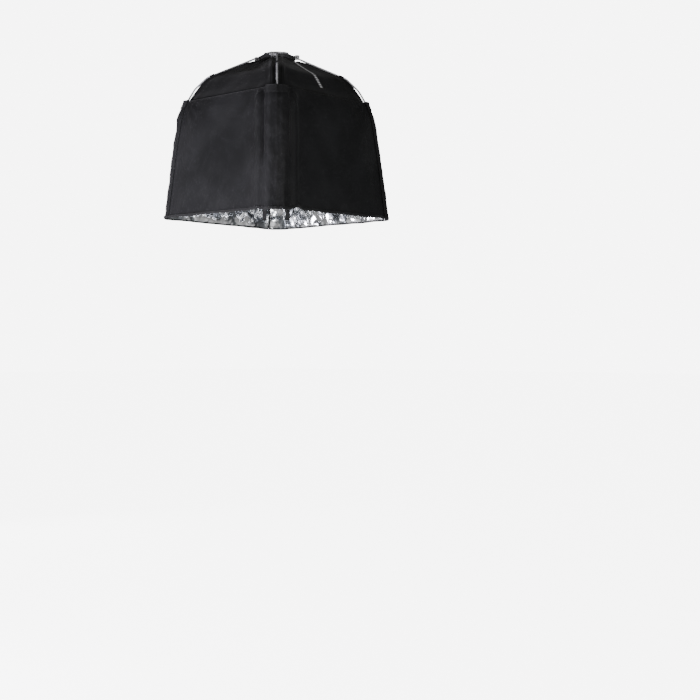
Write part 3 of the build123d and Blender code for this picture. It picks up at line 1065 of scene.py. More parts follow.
@dataclass
class Skirt(SoftPart):
    """The four tall walls, each in two halves that meet at its middle."""

    cloth: float = 0.0010
    lining_gap: float = 0.0048
    underlap: float = 0.010
    rim_gap: float = 0.0016
    low_h: float = 0.003
    lining_low_h: float = 0.0072
    rim_rise: float = 0.003
    right_rim_rise: float = 0.011
    rows: int = 84
    cols: int = 56

    def wave(self, wall: Wall, y: Grid, h: Grid) -> tuple[Grid, Grid]:
        """How the hanging cloth leaves its flat shape.

        Args:
            wall: The wall.
            y: Places along the wall.
            h: Heights above the rim.

        Returns:
            The outward and the upward displacement.
        """
        half = self.outline.wall_half(h)
        end = half - self.outline.flange
        near = np.maximum(end - np.abs(y), 0.0)
        free = ease(near / 0.030)
        place = np.stack([y, h], axis=-1)
        seed = wall.angle * 0.37
        by_front_right = self.front_right_share(wall, y)
        taut = -0.006 * np.clip(1 - (y / half) ** 2, 0, 1) * np.sin(np.pi * np.clip(h / self.outline.seam_h, 0, 1))
        broad = 0.0035 * rough(place, (0.16, 0.30), seed)
        crest_at = 0.040 + 0.006 * rough(place, (0.5, 0.14), seed + 2.0, 1)
        crest = (0.004 + 0.0055 * by_front_right) * hump(near, crest_at, 0.021)
        valley = 0.0075 * by_front_right * hump(near, 0.016, 0.008) * ease((h - 0.12) / 0.16)
        folds = fade(near, 0.030) * np.sin(near / 0.0068 + rough(place, (0.10, 0.20), seed + 3.0))
        pleats = 0.0030 * folds * ease((h - 0.16) / 0.22) * ease(near / 0.004)
        corner = np.hypot(near, self.outline.seam_h - h)
        bearing = np.arctan2(near, self.outline.seam_h - h)
        pull = 0.0026 * fade(corner, 0.11) * np.sin(bearing * 15.0 + seed) * ease(near / 0.02)
        drape = 0.0050 * rough(place, (0.11, 0.45), seed + 9.0, 1) * fade(h, 0.16)
        seam = ease((self.outline.seam_h - h) / 0.03)
        beside = (crest - valley) * seam * ease(near / 0.008)
        out = (taut + broad + drape) * free * seam + beside + pleats + pull * seam
        raised = self.right_rim_rise if wall is Wall.RIGHT else self.rim_rise
        rise = raised * (0.35 + 0.65 * by_front_right) * hump(near, 0.048, 0.030)
        lift = (0.0028 * rough(place, (0.10, 0.5), seed + 5.0, 1) + rise) * fade(h, 0.05) * ease(near / 0.012)
        lift = lift - self.outline.droop(h) * by_front_right * fade(near, 0.10)
        return out, lift

    @staticmethod
    def front_right_share(wall: Wall, y: Grid) -> Grid:
        """1 at a wall's end by the front right corner, 0 at its other end."""
        side = {Wall.RIGHT: -1.0, Wall.FRONT: 1.0}.get(wall, 0.0)
        return ease(0.5 + side * y / 0.12) if side else np.zeros_like(y)

    def face(self, wall: Wall, y: Grid, h: Grid, inset: float) -> Grid:
        """Points on a wall at places along it and heights, inset from its outer face.

        Args:
            wall: The wall.
            y: Places along the wall.
            h: Heights above the rim.
            inset: How far the points lie inside the outer face.

        Returns:
            The points.
        """
        out, lift = self.wave(wall, y, h)
        x = self.outline.reach(h) + out - inset
        return np.stack([x, y, h + lift], axis=-1)

    def grid(
        self,
        wall: Wall,
        side: Half,
        inset: float,
        end: Callable[[Grid], Grid],
        low: float,
        high: float,
        fine: int = 1,
    ) -> Grid:
        """A half wall's points, from its middle to an end that depends on the height.

        Args:
            wall: The wall.
            side: Which half of it.
            inset: How far the points lie inside the outer face.
            end: How far along the wall the half ends at each height.
            low: The lowest height.
            high: The highest height.
            fine: How many times finer the grid is.

        Returns:
            The half wall's grid of points.
        """
        v = np.linspace(low, high, self.rows * fine)[:, None]
        u = np.linspace(0.0, 1.0, self.cols * fine)[None, :]
        h, y = np.broadcast_arrays(v, side * u * end(v))
        points = self.face(wall, y, h, inset)
        return points if side > 0 else points[:, ::-1]

    def build(self) -> None:
        """Makes the outer cloth and the silver lining of every wall."""
        for wall in Wall:
            for side in Half:
                end = lambda h: self.outline.wall_half(h) - self.outline.flange + self.underlap
                points = self.grid(wall, side, 0.0, end, self.low_h, self.outline.seam_h - 0.001)
                points = self.outline.stand(points, wall.angle)
                obj = SheetMesh(f"wall_{wall.label}_{side.label}", points, self.cloth, self.finishes.nylon).build()
                self.blend.wall(obj, wall, side)
                f"rib_rod_{wall.corner(side).label}"
                self.report(obj, "black_nylon")
                self.line(wall, side)
            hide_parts(f"wall_panel_{wall.label}")

    def line(self, wall: Wall, side: Half) -> None:
        """Makes the silver lining of a half wall.

        Args:
            wall: The wall.
            side: Which half of it.
        """
        inner = Lining(self.outline)
        end = lambda h: inner.wall_end(h, self.lining_gap)
        top = self.outline.seam_h - 0.004
        points = self.grid(wall, side, self.lining_gap, end, self.lining_low_h, top, fine=2)
        flat = points[..., 1:]
        edge = np.minimum(1.0, np.abs(np.abs(points[..., 1]) - end(points[..., 2])) / 0.012)
        above = np.linspace(self.lining_low_h, top, points.shape[0])[:, None]
        ends = ease((above - 0.0050) / 0.007) * ease((self.outline.seam_h - above) / 0.02)
        points[..., 0] += inner.crumple(flat, wall.angle) * ease(edge) * ends
        points[..., 0] += (self.lining_gap - self.rim_gap) * ease((0.024 - above) / 0.016)
        points = self.outline.stand(points, wall.angle)
        obj = SheetMesh(f"lining_{wall.label}_{side.label}", points, inner.cloth, self.finishes.silver).build()
        self.blend.wall(obj, wall, side)
        self.report(obj, "silver_cloth")


@dataclass(frozen=True)
class Lining:
    """Sizes that the silver lining's pieces share."""

    outline: Outline
    behind_rod: float = 0.0150
    depth: float = 0.0110
    cloth: float = 0.0006

    def facet_half(self, h: Grid, gap: float) -> Grid:
        """Half the width of the inner corner's face, which stands behind the rod."""
        return self.outline.corner_width(h) / 2 + self.behind_rod - gap / ROOT_HALF

    def wall_end(self, h: Grid, gap: float) -> Grid:
        """How far along a wall its lining runs before it meets the inner corner."""
        return self.outline.reach(h) - gap - 2 * self.facet_half(h, gap) * ROOT_HALF + 0.004

    def crumple(self, flat: Grid, seed: float) -> Grid:
        """The crinkled cloth's depth at places on it, from sharp creases of two sizes.

        Args:
            flat: Places on the flat cloth.
            seed: A shift that tells one piece from another.

        Returns:
            The depth at each place.
        """
        broad = np.abs(rough(flat, (0.080, 0.130), seed * 0.21 + 1.0, 1))
        middle = np.abs(rough(flat, (0.042, 0.060), seed * 0.13 + 5.0, 1))
        return -self.depth * np.clip(1.5 * broad + 0.55 * middle, 0.0, 1.3)


@dataclass
class CornerSleeves(SoftPart):
    """The sleeve strip, the inner corner and the pocket's mouth at each corner."""

    cloth: float = 0.0010
    proud: float = 0.0016
    bend: float = 0.019
    rows: int = 110
    cols: int = 61
    mouth_low: float = 0.484
    mouth_high: float = 0.516
    mouth_thick: float = 0.0018
    mouth_flare: float = 0.0022
    face_gap: float = 0.004
    deep_folds: float = 1.7

    def section(self, a: Grid, h: Grid) -> tuple[Grid, Grid, Grid]:
        """The strip's cross-section, in the rib's own frame.

        Args:
            a: Places across the strip, from its middle, even in step.
            h: Heights above the rim, one for each row.

        Returns:
            The outward and sideways places, and the sideways angle of the normal.
        """
        half = self.outline.corner_width(h) / 2
        angle = np.radians(45.0) * ease((np.abs(a) - half + self.bend) / (2 * self.bend))
        step = np.abs(np.gradient(a, axis=1))
        middle = a.shape[1] // 2
        fall, side = np.cumsum(np.sin(angle) * step, axis=1), np.cumsum(np.cos(angle) * step, axis=1)
        fall -= fall[:, middle : middle + 1]
        side -= side[:, middle : middle + 1]
        drop = np.where(a < 0, -fall, fall)
        return self.outline.corner_radius(h) - drop, side, angle * np.sign(a)

    def folds(self, corner: Corner, a: Grid, h: Grid) -> Grid:
        """The strip's upright folds, deeper at the front left, and the rod's ridge down its middle.

        Args:
            corner: The corner.
            a: Places across the strip, from its middle.
            h: Heights above the rim.

        Returns:
            How far the cloth stands out.
        """
        seed = corner.value * 0.11
        place = np.stack([a, h], axis=-1)
        deep = self.deep_folds if corner is Corner.FRONT_LEFT else 1.0
        edge = ease((self.outline.corner_width(h) / 2 + self.outline.flange - np.abs(a)) / 0.012)
        long_folds = 0.0022 * rough(place, (0.016, 0.20), seed + 2.0, 1)
        kinks = 0.0016 * rough(place, (0.030, 0.045), seed + 6.0, 2)
        rod = 0.0018 * hump(a, 0.0, 0.007)
        high = 0.006 * hump(h, 0.455, 0.045) if corner is Corner.FRONT_LEFT else 0.0
        return (long_folds * deep + kinks * deep + rod + high) * edge

    def surface(
        self, corner: Corner, low: float, high: float, rows: int, proud: float, trim: float = 0.0
    ) -> tuple[Grid, Grid]:
        """The strip's points and normals between two heights, turned to its corner.

        Args:
            corner: The corner.
            low: The lowest height.
            high: The highest height.
            rows: The number of rows.
            proud: How far the strip stands off the corner's face.
            trim: How much narrower than the sleeve it is.

        Returns:
            The points and their normals.
        """
        h = np.linspace(low, high, rows)[:, None]
        width = self.outline.corner_width(h) / 2 + self.outline.flange - trim
        a = np.linspace(-1.0, 1.0, self.cols)[None, :] * width
        h = np.broadcast_to(h, a.shape)
        x, y, angle = self.section(a, h)
        normal = np.stack([np.cos(angle), np.sin(angle), np.zeros_like(angle)], axis=-1)
        depth = proud + self.folds(corner, a, h)
        sag = self.outline.droop(h) if corner is Corner.FRONT_RIGHT else 0.0
        points = np.stack([x, y, h - sag], axis=-1) + normal * depth[..., None]
        return turn(points, corner.value), turn(normal, corner.value)

    def build(self) -> None:
        """Makes every corner's strip, stitches, mouth and inner corner."""
        for corner in Corner:
            self.sleeve(corner)
            self.mouth(corner)
            self.inner(corner)

    def sleeve(self, corner: Corner) -> None:
        """Makes the strip down the outside of a corner, with a row of stitches on each side.

        Args:
            corner: The corner.
        """
        points, normal = self.surface(corner, 0.003, 0.512, self.rows, self.proud + self.cloth)
        points = self.outline.lift(points)
        obj = SheetMesh(f"sleeve_{corner.label}", points, self.cloth, self.finishes.nylon).build()
        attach(obj, corner.body)
        self.report(obj, "black_nylon", f"corner_band_{corner.label}")
        for tag, column in (("low", 3), ("high", self.cols - 4)):
            line, up = points[2:-2, column], normal[2:-2, column]
            row = self.stitches(f"sleeve_stitches_{corner.label}_{tag}", line, up)
            self.on_rib(row, corner, "black_webbing")

    def mouth(self, corner: Corner) -> None:
        """Makes the webbing that bounds the pocket's mouth, with its stitches.

        Args:
            corner: The corner.
        """
        points, normal = self.surface(corner, self.mouth_low, self.mouth_high, 14, self.proud + 0.0035, 0.003)
        flare = ease((points[..., 2:] - self.mouth_low) / (self.mouth_high - self.mouth_low))
        points = self.outline.lift(points + normal * self.mouth_flare * flare)
        tape = SheetMesh(f"pocket_mouth_{corner.label}_tape", points, self.mouth_thick, self.finishes.tape)
        self.on_rib(tape.build(), corner, "black_webbing", f"pocket_mouth_{corner.label}")
        for tag, row in (("low", 1), ("high", 12)):
            name = f"mouth_stitches_{corner.label}_{tag}"
            self.on_rib(self.stitches(name, points[row, 2:-2], normal[row, 2:-2]), corner, "black_webbing")

    def inner(self, corner: Corner) -> None:
        """Makes the silver face behind the rod, with the black tape over its seam.

        Args:
            corner: The corner.
        """
        lining, gap = Lining(self.outline), self.face_gap
        h = np.linspace(0.006, 0.500, self.rows)[:, None]
        half = lining.facet_half(h, gap) + 0.003
        y = np.linspace(-1.0, 1.0, 41)[None, :] * half
        h, y = np.broadcast_arrays(h, y)
        flat = np.stack([y, h], axis=-1)
        edge = ease((half - np.abs(y)) / 0.010)
        depth = lining.crumple(flat, corner.value) * edge
        x = self.outline.corner_radius(h) - lining.behind_rod + depth * 0.6
        points = self.outline.stand(np.stack([x, y, h], axis=-1), corner.value)
        obj = SheetMesh(f"lining_corner_{corner.label}", points, lining.cloth, self.finishes.silver).build()
        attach(obj, corner.body)
        self.report(obj, "silver_cloth")
        shift = half[:, 0] - 0.006
        line = np.stack([x[:, 4] - 0.0024, shift, h[:, 4]], axis=-1)
        line = self.outline.stand(line, corner.value)
        up = np.broadcast_to(turn(-OUTWARD, corner.value), line.shape)
        low, high = [(-0.005, -0.0006), (0.005, -0.0006)], [(0.0046, 0.0004), (0.0, 0.0008), (-0.0046, 0.0004)]
        section = np.array(low + high)
        tape = tube_along(f"seam_tape_{corner.label}", line, section, up, self.finishes.tape)
        self.on_rib(tape, corner, "black_webbing")


@dataclass
class Roof(SoftPart):
    """The four sloping panels in two halves each, and the ridge strips under the rods."""

    cloth: float = 0.0010
    lining_gap: float = 0.0040
    rows: int = 60
    cols: int = 44
    strip_proud: float = 0.0014

    def ridge_line(self, share: Grid) -> tuple[Grid, Grid]:
        """The ridge's radius and height, from the seam (0) to the hub (1)."""
        return SmoothLine(self.outline.ridge).at(share)

    def face(self, wall: Wall, side: Half, inset: float, fine: int = 1) -> Grid:
        """A half panel's points, from its middle to under the ridge strip.

        Args:
            wall: The wall.
            side: Which half of it.
            inset: How far the points lie inside the outer face.
            fine: How many times finer the grid is.

        Returns:
            The points.
        """
        share = np.linspace(0.0, 1.0, self.rows * fine)[:, None]
        u = np.linspace(0.0, 1.0, self.cols * fine)[None, :]
        radius, height = self.ridge_line(share)
        reach = (radius + self.outline.ridge_width / 2) * ROOT_HALF
        edge = reach - self.outline.ridge_width * ROOT_HALF + 0.004
        y = side * u * edge
        near = edge - np.abs(y)
        meet = 0.0118 * ease((0.16 - share) / 0.16) * ease(near / 0.05)
        share, y, height = np.broadcast_arrays(share, y, height)
        place = np.stack([y, share * 0.45], axis=-1)
        seed = wall.angle * 0.23 + 40.0
        free = ease(near / 0.03) * ease(share / 0.06)
        slack = -0.010 * (1 - (y / edge) ** 2) * (np.sin(np.pi * share) + 0.5 * ease((share - 0.6) / 0.4))
        lumps = 0.0035 * rough(place, (0.13, 0.16), seed)
        pleats = 0.0020 * fade(near, 0.03) * np.sin(near / 0.008 + 3.0 * share)
        hub = 0.0030 * np.sin(np.abs(y) / 0.009 + seed) * ease((share - 0.75) / 0.2)
        out = (slack + lumps + hub) * free + pleats * ease(near / 0.006) * ease((1 - share) / 0.1)
        x = reach + meet + (out - inset) * 0.55
        points = np.stack([x, y, height + (out - inset) * 0.8], axis=-1)
        return points if side > 0 else points[:, ::-1]

    def strip_points(
        self, wall: Wall, side: Half, half: float, low: float, high: float, proud: float
    ) -> Grid:
        """Points of a narrow strip that lies on a panel beside its middle.

        Args:
            wall: The panel's wall.
            side: Which half of the panel.
            half: The strip's width on this half.
            low: Its lower end as a share of the slope.
            high: Its upper end as a share of the slope.
            proud: How far it stands above the cloth.

        Returns:
            The strip's grid of points.
        """
        panel = self.face(wall, side, -proud)
        inner = panel if side > 0 else panel[:, ::-1]
        shares = np.linspace(0.0, 1.0, inner.shape[0])
        places = np.linspace(low, high, 60)
        across = np.linspace(0.0, half, 9) * side
        out = np.zeros((len(places), len(across), 3))
        for i, place in enumerate(places):
            columns = inner.transpose(1, 2, 0)
            row = np.array([[np.interp(place, shares, run) for run in column] for column in columns])
            for axis in range(3):
                out[i, :, axis] = np.interp(across * side, row[:, 1] * side, row[:, axis])
        return out if side > 0 else out[:, ::-1]

    def build(self) -> None:
        """Makes the outer cloth, its lining and the ridge strips."""
        for wall in Wall:
            for side in Half:
                points = self.outline.stand(self.face(wall, side, 0.0), wall.angle)
                obj = SheetMesh(f"roof_{wall.label}_{side.label}", points, self.cloth, self.finishes.nylon).build()
                self.blend.roof(obj, wall, side)
                self.report(obj, "black_nylon")
                self.line(wall, side)
            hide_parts(f"roof_gore_{wall.label}")
        for corner in Corner:
            self.strip(corner)

    def line(self, wall: Wall, side: Half) -> None:
        """Makes the silver lining of a half panel.

        Args:
            wall: The wall.
            side: Which half of it.
        """
        inner = Lining(self.outline)
        points = self.face(wall, side, self.lining_gap, fine=2)
        flat = points[..., :2]
        crumple = inner.crumple(flat, wall.angle + 30.0)
        share = np.linspace(0.0, 1.0, points.shape[0])[:, None]
        crumple = crumple * ease(share / 0.05) * ease((1 - share) / 0.05)
        points[..., 2] += crumple * 0.8
        points = self.outline.stand(points, wall.angle)
        obj = SheetMesh(f"lining_roof_{wall.label}_{side.label}", points, inner.cloth, self.finishes.silver).build()
        self.blend.roof(obj, wall, side)
        self.report(obj, "silver_cloth")

    def strip(self, corner: Corner) -> None:
        """Makes the strip under a rod, from the seam to the hub, with its two rows of stitches.

        Args:
            corner: The corner.
        """
        share = np.linspace(0.0, 1.0, 90)[:, None]
        radius, height = self.ridge_line(share)
        width = self.outline.ridge_width / 2 + 0.006
        y = np.linspace(-width, width, 25)[None, :]
        radius, y, height = np.broadcast_arrays(radius, y, height)
        slope = np.gradient(height, axis=0) / np.gradient(radius, axis=0)
        tilt = np.arctan(-slope)
        normal = np.stack([np.sin(tilt), np.zeros_like(tilt), np.cos(tilt)], axis=-1)
        place = np.stack([y, radius], axis=-1)
        fall = np.maximum(np.abs(y) - self.outline.ridge_width / 2 + 0.004, 0.0)
        depth = self.strip_proud + 0.0012 * rough(place, (0.02, 0.10), corner.value) - 0.35 * fall
        points = np.stack([radius, y, height], axis=-1) + normal * depth[..., None]
        points = self.outline.stand(points, corner.value)
        normal = turn(normal, corner.value)
        obj = SheetMesh(f"ridge_{corner.label}", points, self.cloth, self.finishes.nylon).build()
        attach(obj, corner.body)
        self.report(obj, "black_nylon", f"ridge_strip_{corner.label}")
        for tag, column in (("low", 3), ("high", 21)):
            name = f"ridge_stitches_{corner.label}_{tag}"
            row = self.stitches(name, points[3:-3, column], normal[3:-3, column])
            self.on_rib(row, corner, "black_webbing")


@dataclass
class Rim(SoftPart):
    """The folded tape that binds the rim, on the walls and on the corners."""

    height: float = 0.009
    thick: float = 0.0016
    cloth: float = 0.0052
    overlap: float = 0.003

    def section(self) -> Grid:
        """The tape's folded cross-section, across the cloth and upwards: a U round its edge.

        Returns:
            The section's corners.
        """
        half, turns = self.cloth / 2, 7
        bottom = np.linspace(0.0, math.pi, turns)
        outer = [(half * math.cos(t), -half * math.sin(t)) for t in bottom]
        inner_half = half - self.thick / 2
        inner = [(inner_half * math.cos(t), -inner_half * math.sin(t)) for t in bottom[::-1]]
        left = [(-half, self.height * 0.55), (-half, self.height), (-inner_half, self.height)]
        right = [(inner_half, self.height), (half, self.height), (half, self.height * 0.55)]
        return np.array(outer + left + inner + right)

    def build(self) -> None:
        """Binds every wall and corner, and stitches the tape."""
        skirt = Skirt(self.outline, self.finishes)
        for wall in Wall:
            for side in Half:
                end = float(self.outline.wall_half(0.0) - self.outline.flange + self.overlap)
                y = np.linspace(0.0, end, 90) * side
                line = skirt.face(wall, y, np.full_like(y, self.cloth / 2), 0.0005)
                line = self.outline.stand(line if side > 0 else line[::-1], wall.angle)
                facing = turn(OUTWARD, wall.angle)
                obj = self.bind(f"rim_tape_{wall.label}_{side.label}", line, np.broadcast_to(facing, line.shape))
                self.blend.wall(obj, wall, side)
                self.report(obj, "black_webbing")
            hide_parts(f"wall_hem_{wall.label}")
        sleeves = CornerSleeves(self.outline, self.finishes)
        for corner in Corner:
            points, normal = sleeves.surface(corner, self.cloth / 2, self.cloth / 2 + 0.001, 2, 0.0016)
            obj = self.bind(f"rim_tape_{corner.label}", self.outline.lift(points[0]), normal[0])
            self.on_rib(obj, corner, "black_webbing", f"corner_hem_{corner.label}")

    def bind(self, name: str, line: Grid, normal: Grid) -> Object:
        """Makes one run of tape along a line, with a row of stitches on its outside.

        Args:
            name: The object's name.
            line: Points along the tape.
            normal: The outward direction at each point.

        Returns:
            The tape with its stitches.
        """
        up = np.broadcast_to(UP, line.shape)
        tape = tube_along(f"{name}_tape", line, self.section(), up, self.finishes.tape)
        outside = line + normal * (self.cloth / 2) + np.array([0.0, 0.0, self.height * 0.72])
        stitches = self.stitches(f"{name}_stitches", outside[1:-1], normal[1:-1])
        return joined([tape, stitches], name)


@dataclass
class SeamPiping(SoftPart):
    """The piping along the seam where each wall meets the roof."""

    radius: float = 0.0021
    facets: int = 10
    overlap: float = 0.006
    bar_drop: float = 0.0008
    stitch_drop: float = 0.0065

    def build(self) -> None:
        """Makes the piping of every wall in two halves, with stitches under it."""
        skirt = Skirt(self.outline, self.finishes)
        for wall in Wall:
            for side in Half:
                end = float(self.outline.wall_half(self.outline.seam_h) - self.outline.flange + self.overlap)
                y = np.linspace(0.0, end, 70) * side
                line = skirt.face(wall, y, np.full_like(y, self.outline.seam_h - self.bar_drop), 0.0006)
                below = skirt.face(wall, y, np.full_like(y, self.outline.seam_h - self.stitch_drop), -0.0001)
                if side < 0:
                    line, below = line[::-1], below[::-1]
                line, below = (self.outline.stand(run, wall.angle) for run in (line, below))
                around = np.linspace(0.0, 2 * math.pi, self.facets, endpoint=False)
                section = np.column_stack([np.cos(around), np.sin(around)]) * self.radius
                up = np.broadcast_to(UP, line.shape)
                name = f"seam_piping_{wall.label}_{side.label}"
                bar = tube_along(f"{name}_bar", line, section, up, self.finishes.nylon)
                normal = np.broadcast_to(turn(OUTWARD, wall.angle), line.shape)
                row = self.stitches(f"{name}_stitches", below[:-2], normal[:-2])
                obj = joined([bar, row], name)
                self.blend.wall(obj, wall, side)
                self.report(obj, "black_nylon")


@dataclass
class RodKeepers(SoftPart):
    """The webbing loop that holds each rod to its ridge at the bend."""

    top: tuple[float, float] = (0.091, 0.710)
    bend: tuple[float, float] = (0.306, 0.622)
    setback: float = 0.013
    length: float = 0.022
    loop: float = 0.0062
    wing: float = 0.0105
    drop: float = 0.0072
    thick: float = 0.0015

    def outline_section(self) -> Grid:
        """The loop's outer line, across the rod and upwards: wing, over the rod, wing.

        Returns:
            The section's corners.
        """
        over = np.linspace(math.radians(200.0), math.radians(-20.0), 19)
        arch = np.column_stack([np.cos(over) * self.loop, np.sin(over) * self.loop])
        wings = np.linspace(self.wing, self.loop * 1.08, 5)
        left = np.column_stack([-wings, np.full(5, -self.drop)])
        right = np.column_stack([wings[::-1], np.full(5, -self.drop)])
        return np.concatenate([left, arch, right])

    def build(self) -> None:
        """Makes the four loops with their stitches."""
        (r0, h0), (r1, h1) = self.top, self.bend
        along = np.array([r1 - r0, 0.0, h1 - h0])
        along /= np.linalg.norm(along)
        up = np.array([-along[2], 0.0, along[0]])
        section = self.outline_section()
        run = np.linspace(0.0, 1.0, 9)[:, None]
        start = np.array([r1, 0.0, h1]) - along * (self.setback + self.length)
        for corner in Corner:
            flare = 1.0 + 0.05 * np.sin(run * 9.0 + corner.value)
            across = section[None, :, 0] * flare
            height = section[None, :, 1] * np.ones_like(flare)
            line = start + along * (run * self.length)
            points = line[:, None] + across[..., None] * np.array([0.0, 1.0, 0.0]) + height[..., None] * up
            points = self.outline.stand(points, corner.value)
            loop = SheetMesh(f"rod_keeper_{corner.label}_loop", points[:, ::-1], self.thick, self.finishes.tape)
            rows = [loop.build()]
            for column in (2, -3):
                normal = np.broadcast_to(turn(up, corner.value), points[:, 0].shape)
                rows.append(self.stitches(f"keeper_row_{column}", points[:, column], normal))
            obj = joined(rows, f"rod_keeper_{corner.label}")
            self.on_rib(obj, corner, "black_webbing", f"keeper_{corner.label}")


@dataclass
class TieTabs(SoftPart):
    """The two webbing tabs that hang inside the front right corner's rim."""

    width: float = 0.017
    sewn_h: float = 0.018
    drop: float = 0.0475
    inset: float = 0.0052
    along: tuple[float, float] = (0.0340, 0.0250)
    splay: float = 0.007
    turned: float = 0.62
    thick: float = 0.0016

    def build(self) -> None:
        """Makes both tabs, each with a slight twist and two rows of stitches near its end."""
        corner = Corner.FRONT_RIGHT
        half = float(self.outline.corner_width(0.0)) / 2
        for side, tag, along in ((-1, "left", self.along[0]), (1, "right", self.along[1])):
            h = np.linspace(self.sewn_h, -self.drop, 40)[:, None]
            a = np.linspace(-0.5, 0.5, 13)[None, :] * self.width
            hang = ease(-h / self.drop)
            twist = self.turned * ease(-(h - 0.004) / 0.022)
            out = along + self.splay * hang + a * np.cos(twist)
            deep = self.inset + 0.001 - a * np.sin(twist) + 0.004 * hang * (1.0 + 0.4 * np.sin(h * 110.0))
            x = self.outline.corner_radius(0.0) - (out + deep) * ROOT_HALF
            y = side * (half + (out - deep) * ROOT_HALF)
            x, y, h = np.broadcast_arrays(x, y, h)
            points = self.outline.stand(np.stack([x, y, h], axis=-1), corner.value)
            if side > 0:
                points = points[:, ::-1]
            sheet = SheetMesh(f"tie_tab_{tag}_strap", points, self.thick, self.finishes.tape)
            normal = sheet.normals()
            rows = [sheet.build()]
            for row in (-6, -10):
                rows.append(self.stitches(f"tab_row_{row}", points[row, 1:-1], normal[row, 1:-1]))
            obj = joined(rows, f"webbing_tab_{tag}")
            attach(obj, corner.body)
            self.report(obj, "black_webbing", f"tie_tab_{tag}")


@dataclass
class RoofPatch(SoftPart):
    """The plain woven strip sewn down the middle of the right roof panel."""

    half: float = 0.011
    low: float = 0.13
    high: float = 0.90
    proud: float = 0.0014
    thick: float = 0.0008

    def build(self) -> None:
        """Makes the strip in two halves, one on each of the panel's halves."""
        roof = Roof(self.outline, self.finishes)
        for side in Half:
            points = roof.strip_points(Wall.RIGHT, side, self.half, self.low, self.high, self.proud)
            points = self.outline.stand(points, Wall.RIGHT.angle)
            across = np.abs(np.linspace(0.0, self.half, points.shape[1])) * side
            spread_v = run_length(points[:, 0])
            if side < 0:
                across = across[::-1]
            spread = np.stack(np.broadcast_arrays(across[None, :], spread_v[:, None]), axis=-1)
            obj = SheetMesh(f"roof_patch_{side.label}", points, self.thick, self.finishes.patch, spread).build()
            self.blend.roof(obj, Wall.RIGHT, side)
            self.report(obj, "patch_weave")
        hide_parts("label_patch")


@dataclass
class RoofCollar(SoftPart):
    """The gathered cloth frill that hangs from the speed ring inside the roof's opening."""

    top_r: float = 0.0752
    low_r: float = 0.0800
    under_strip: float = 0.0105
    top_h: float = 0.7022
    low_h: float = 0.6840
    gathers: int = 40
    cloth: float = 0.0010

    def build(self) -> None:
        """Makes the frill and its row of stitches."""
        angle = np.linspace(0.0, 2 * math.pi, 361)[None, :]
        t = np.linspace(0.0, 1.0, 20)[:, None]
        ripple = np.sin(self.gathers * angle + 2.0 * np.sin(5.0 * angle))
        off_corner = np.abs(np.degrees(angle) % 90.0 - 45.0)
        low_r = self.low_r + self.under_strip * ease((18.0 - off_corner) / 10.0)
        radius = self.top_r + (low_r - self.top_r) * t + 0.0012 * ripple * ease(t / 0.6)
        height = self.top_h + (self.low_h - self.top_h) * t + 0.0010 * np.sin(3.0 * angle) * t
        x, y = radius * np.cos(angle), radius * np.sin(angle)
        points = self.outline.lift(np.stack(np.broadcast_arrays(x, y, height), axis=-1))
        sheet = SheetMesh("frill_cloth", points[::-1], self.cloth, self.finishes.nylon)
        normal = sheet.normals()
        row = self.stitches("frill_stitches", sheet.points[-4], normal[-4])
        obj = joined([sheet.build(), row], "gathered_collar")
        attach(obj, "box")
        self.report(obj, "black_nylon", "roof_collar")


@dataclass
class HubMetal:
    """The hub's and the ribs' hard parts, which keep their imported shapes."""

    finishes: Finishes

    def dress(self) -> None:
        """Gives every hard part its finish."""
        f = self.finishes
        wanted = {
            "adapter_ring": f.adapter,
            "retainer_ring": f.anodised,
            "retainer_screws": f.screw,
            "speed_ring": f.anodised,
            "bracket_screws": f.screw,
            "lock_stud": f.screw,
            "lock_knob": f.plastic,
        }
        for corner in Corner:
            wanted[f"rib_rod_{corner.label}"] = f.rod
            wanted[f"rib_bracket_{corner.label}"] = f.plate
            wanted[f"pin_clip_{corner.label}"] = f.screw
            wanted[f"rod_tip_{corner.label}"] = f.plastic
        for name, finish in wanted.items():
            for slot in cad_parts[name].material_slots:
                slot.material = finish
        LOG.info("dressed %d hard parts", len(wanted))


@dataclass(frozen=True)
class Lamp:
    """A soft square lamp: where it stands, the point that it faces, its side, its watts and its colour."""

    name: str
    place: tuple[float, float, float]
    aim: tuple[float, float, float]
    size: float
    power: float
    tint: tuple[float, float, float] = (1.0, 1.0, 1.0)

    def hang(self) -> None:
        """Adds the lamp to the scene."""
        data = bpy.data.lights.new(self.name, "AREA")
        data.shape, data.size, data.energy, data.color = "SQUARE", self.size, self.power, self.tint
        lamp = bpy.data.objects.new(self.name, data)
        lamp.location = self.place
        lamp.rotation_euler = (Vector(self.aim) - Vector(self.place)).to_track_quat("-Z", "Y").to_euler()
        bpy.context.scene.collection.objects.link(lamp)


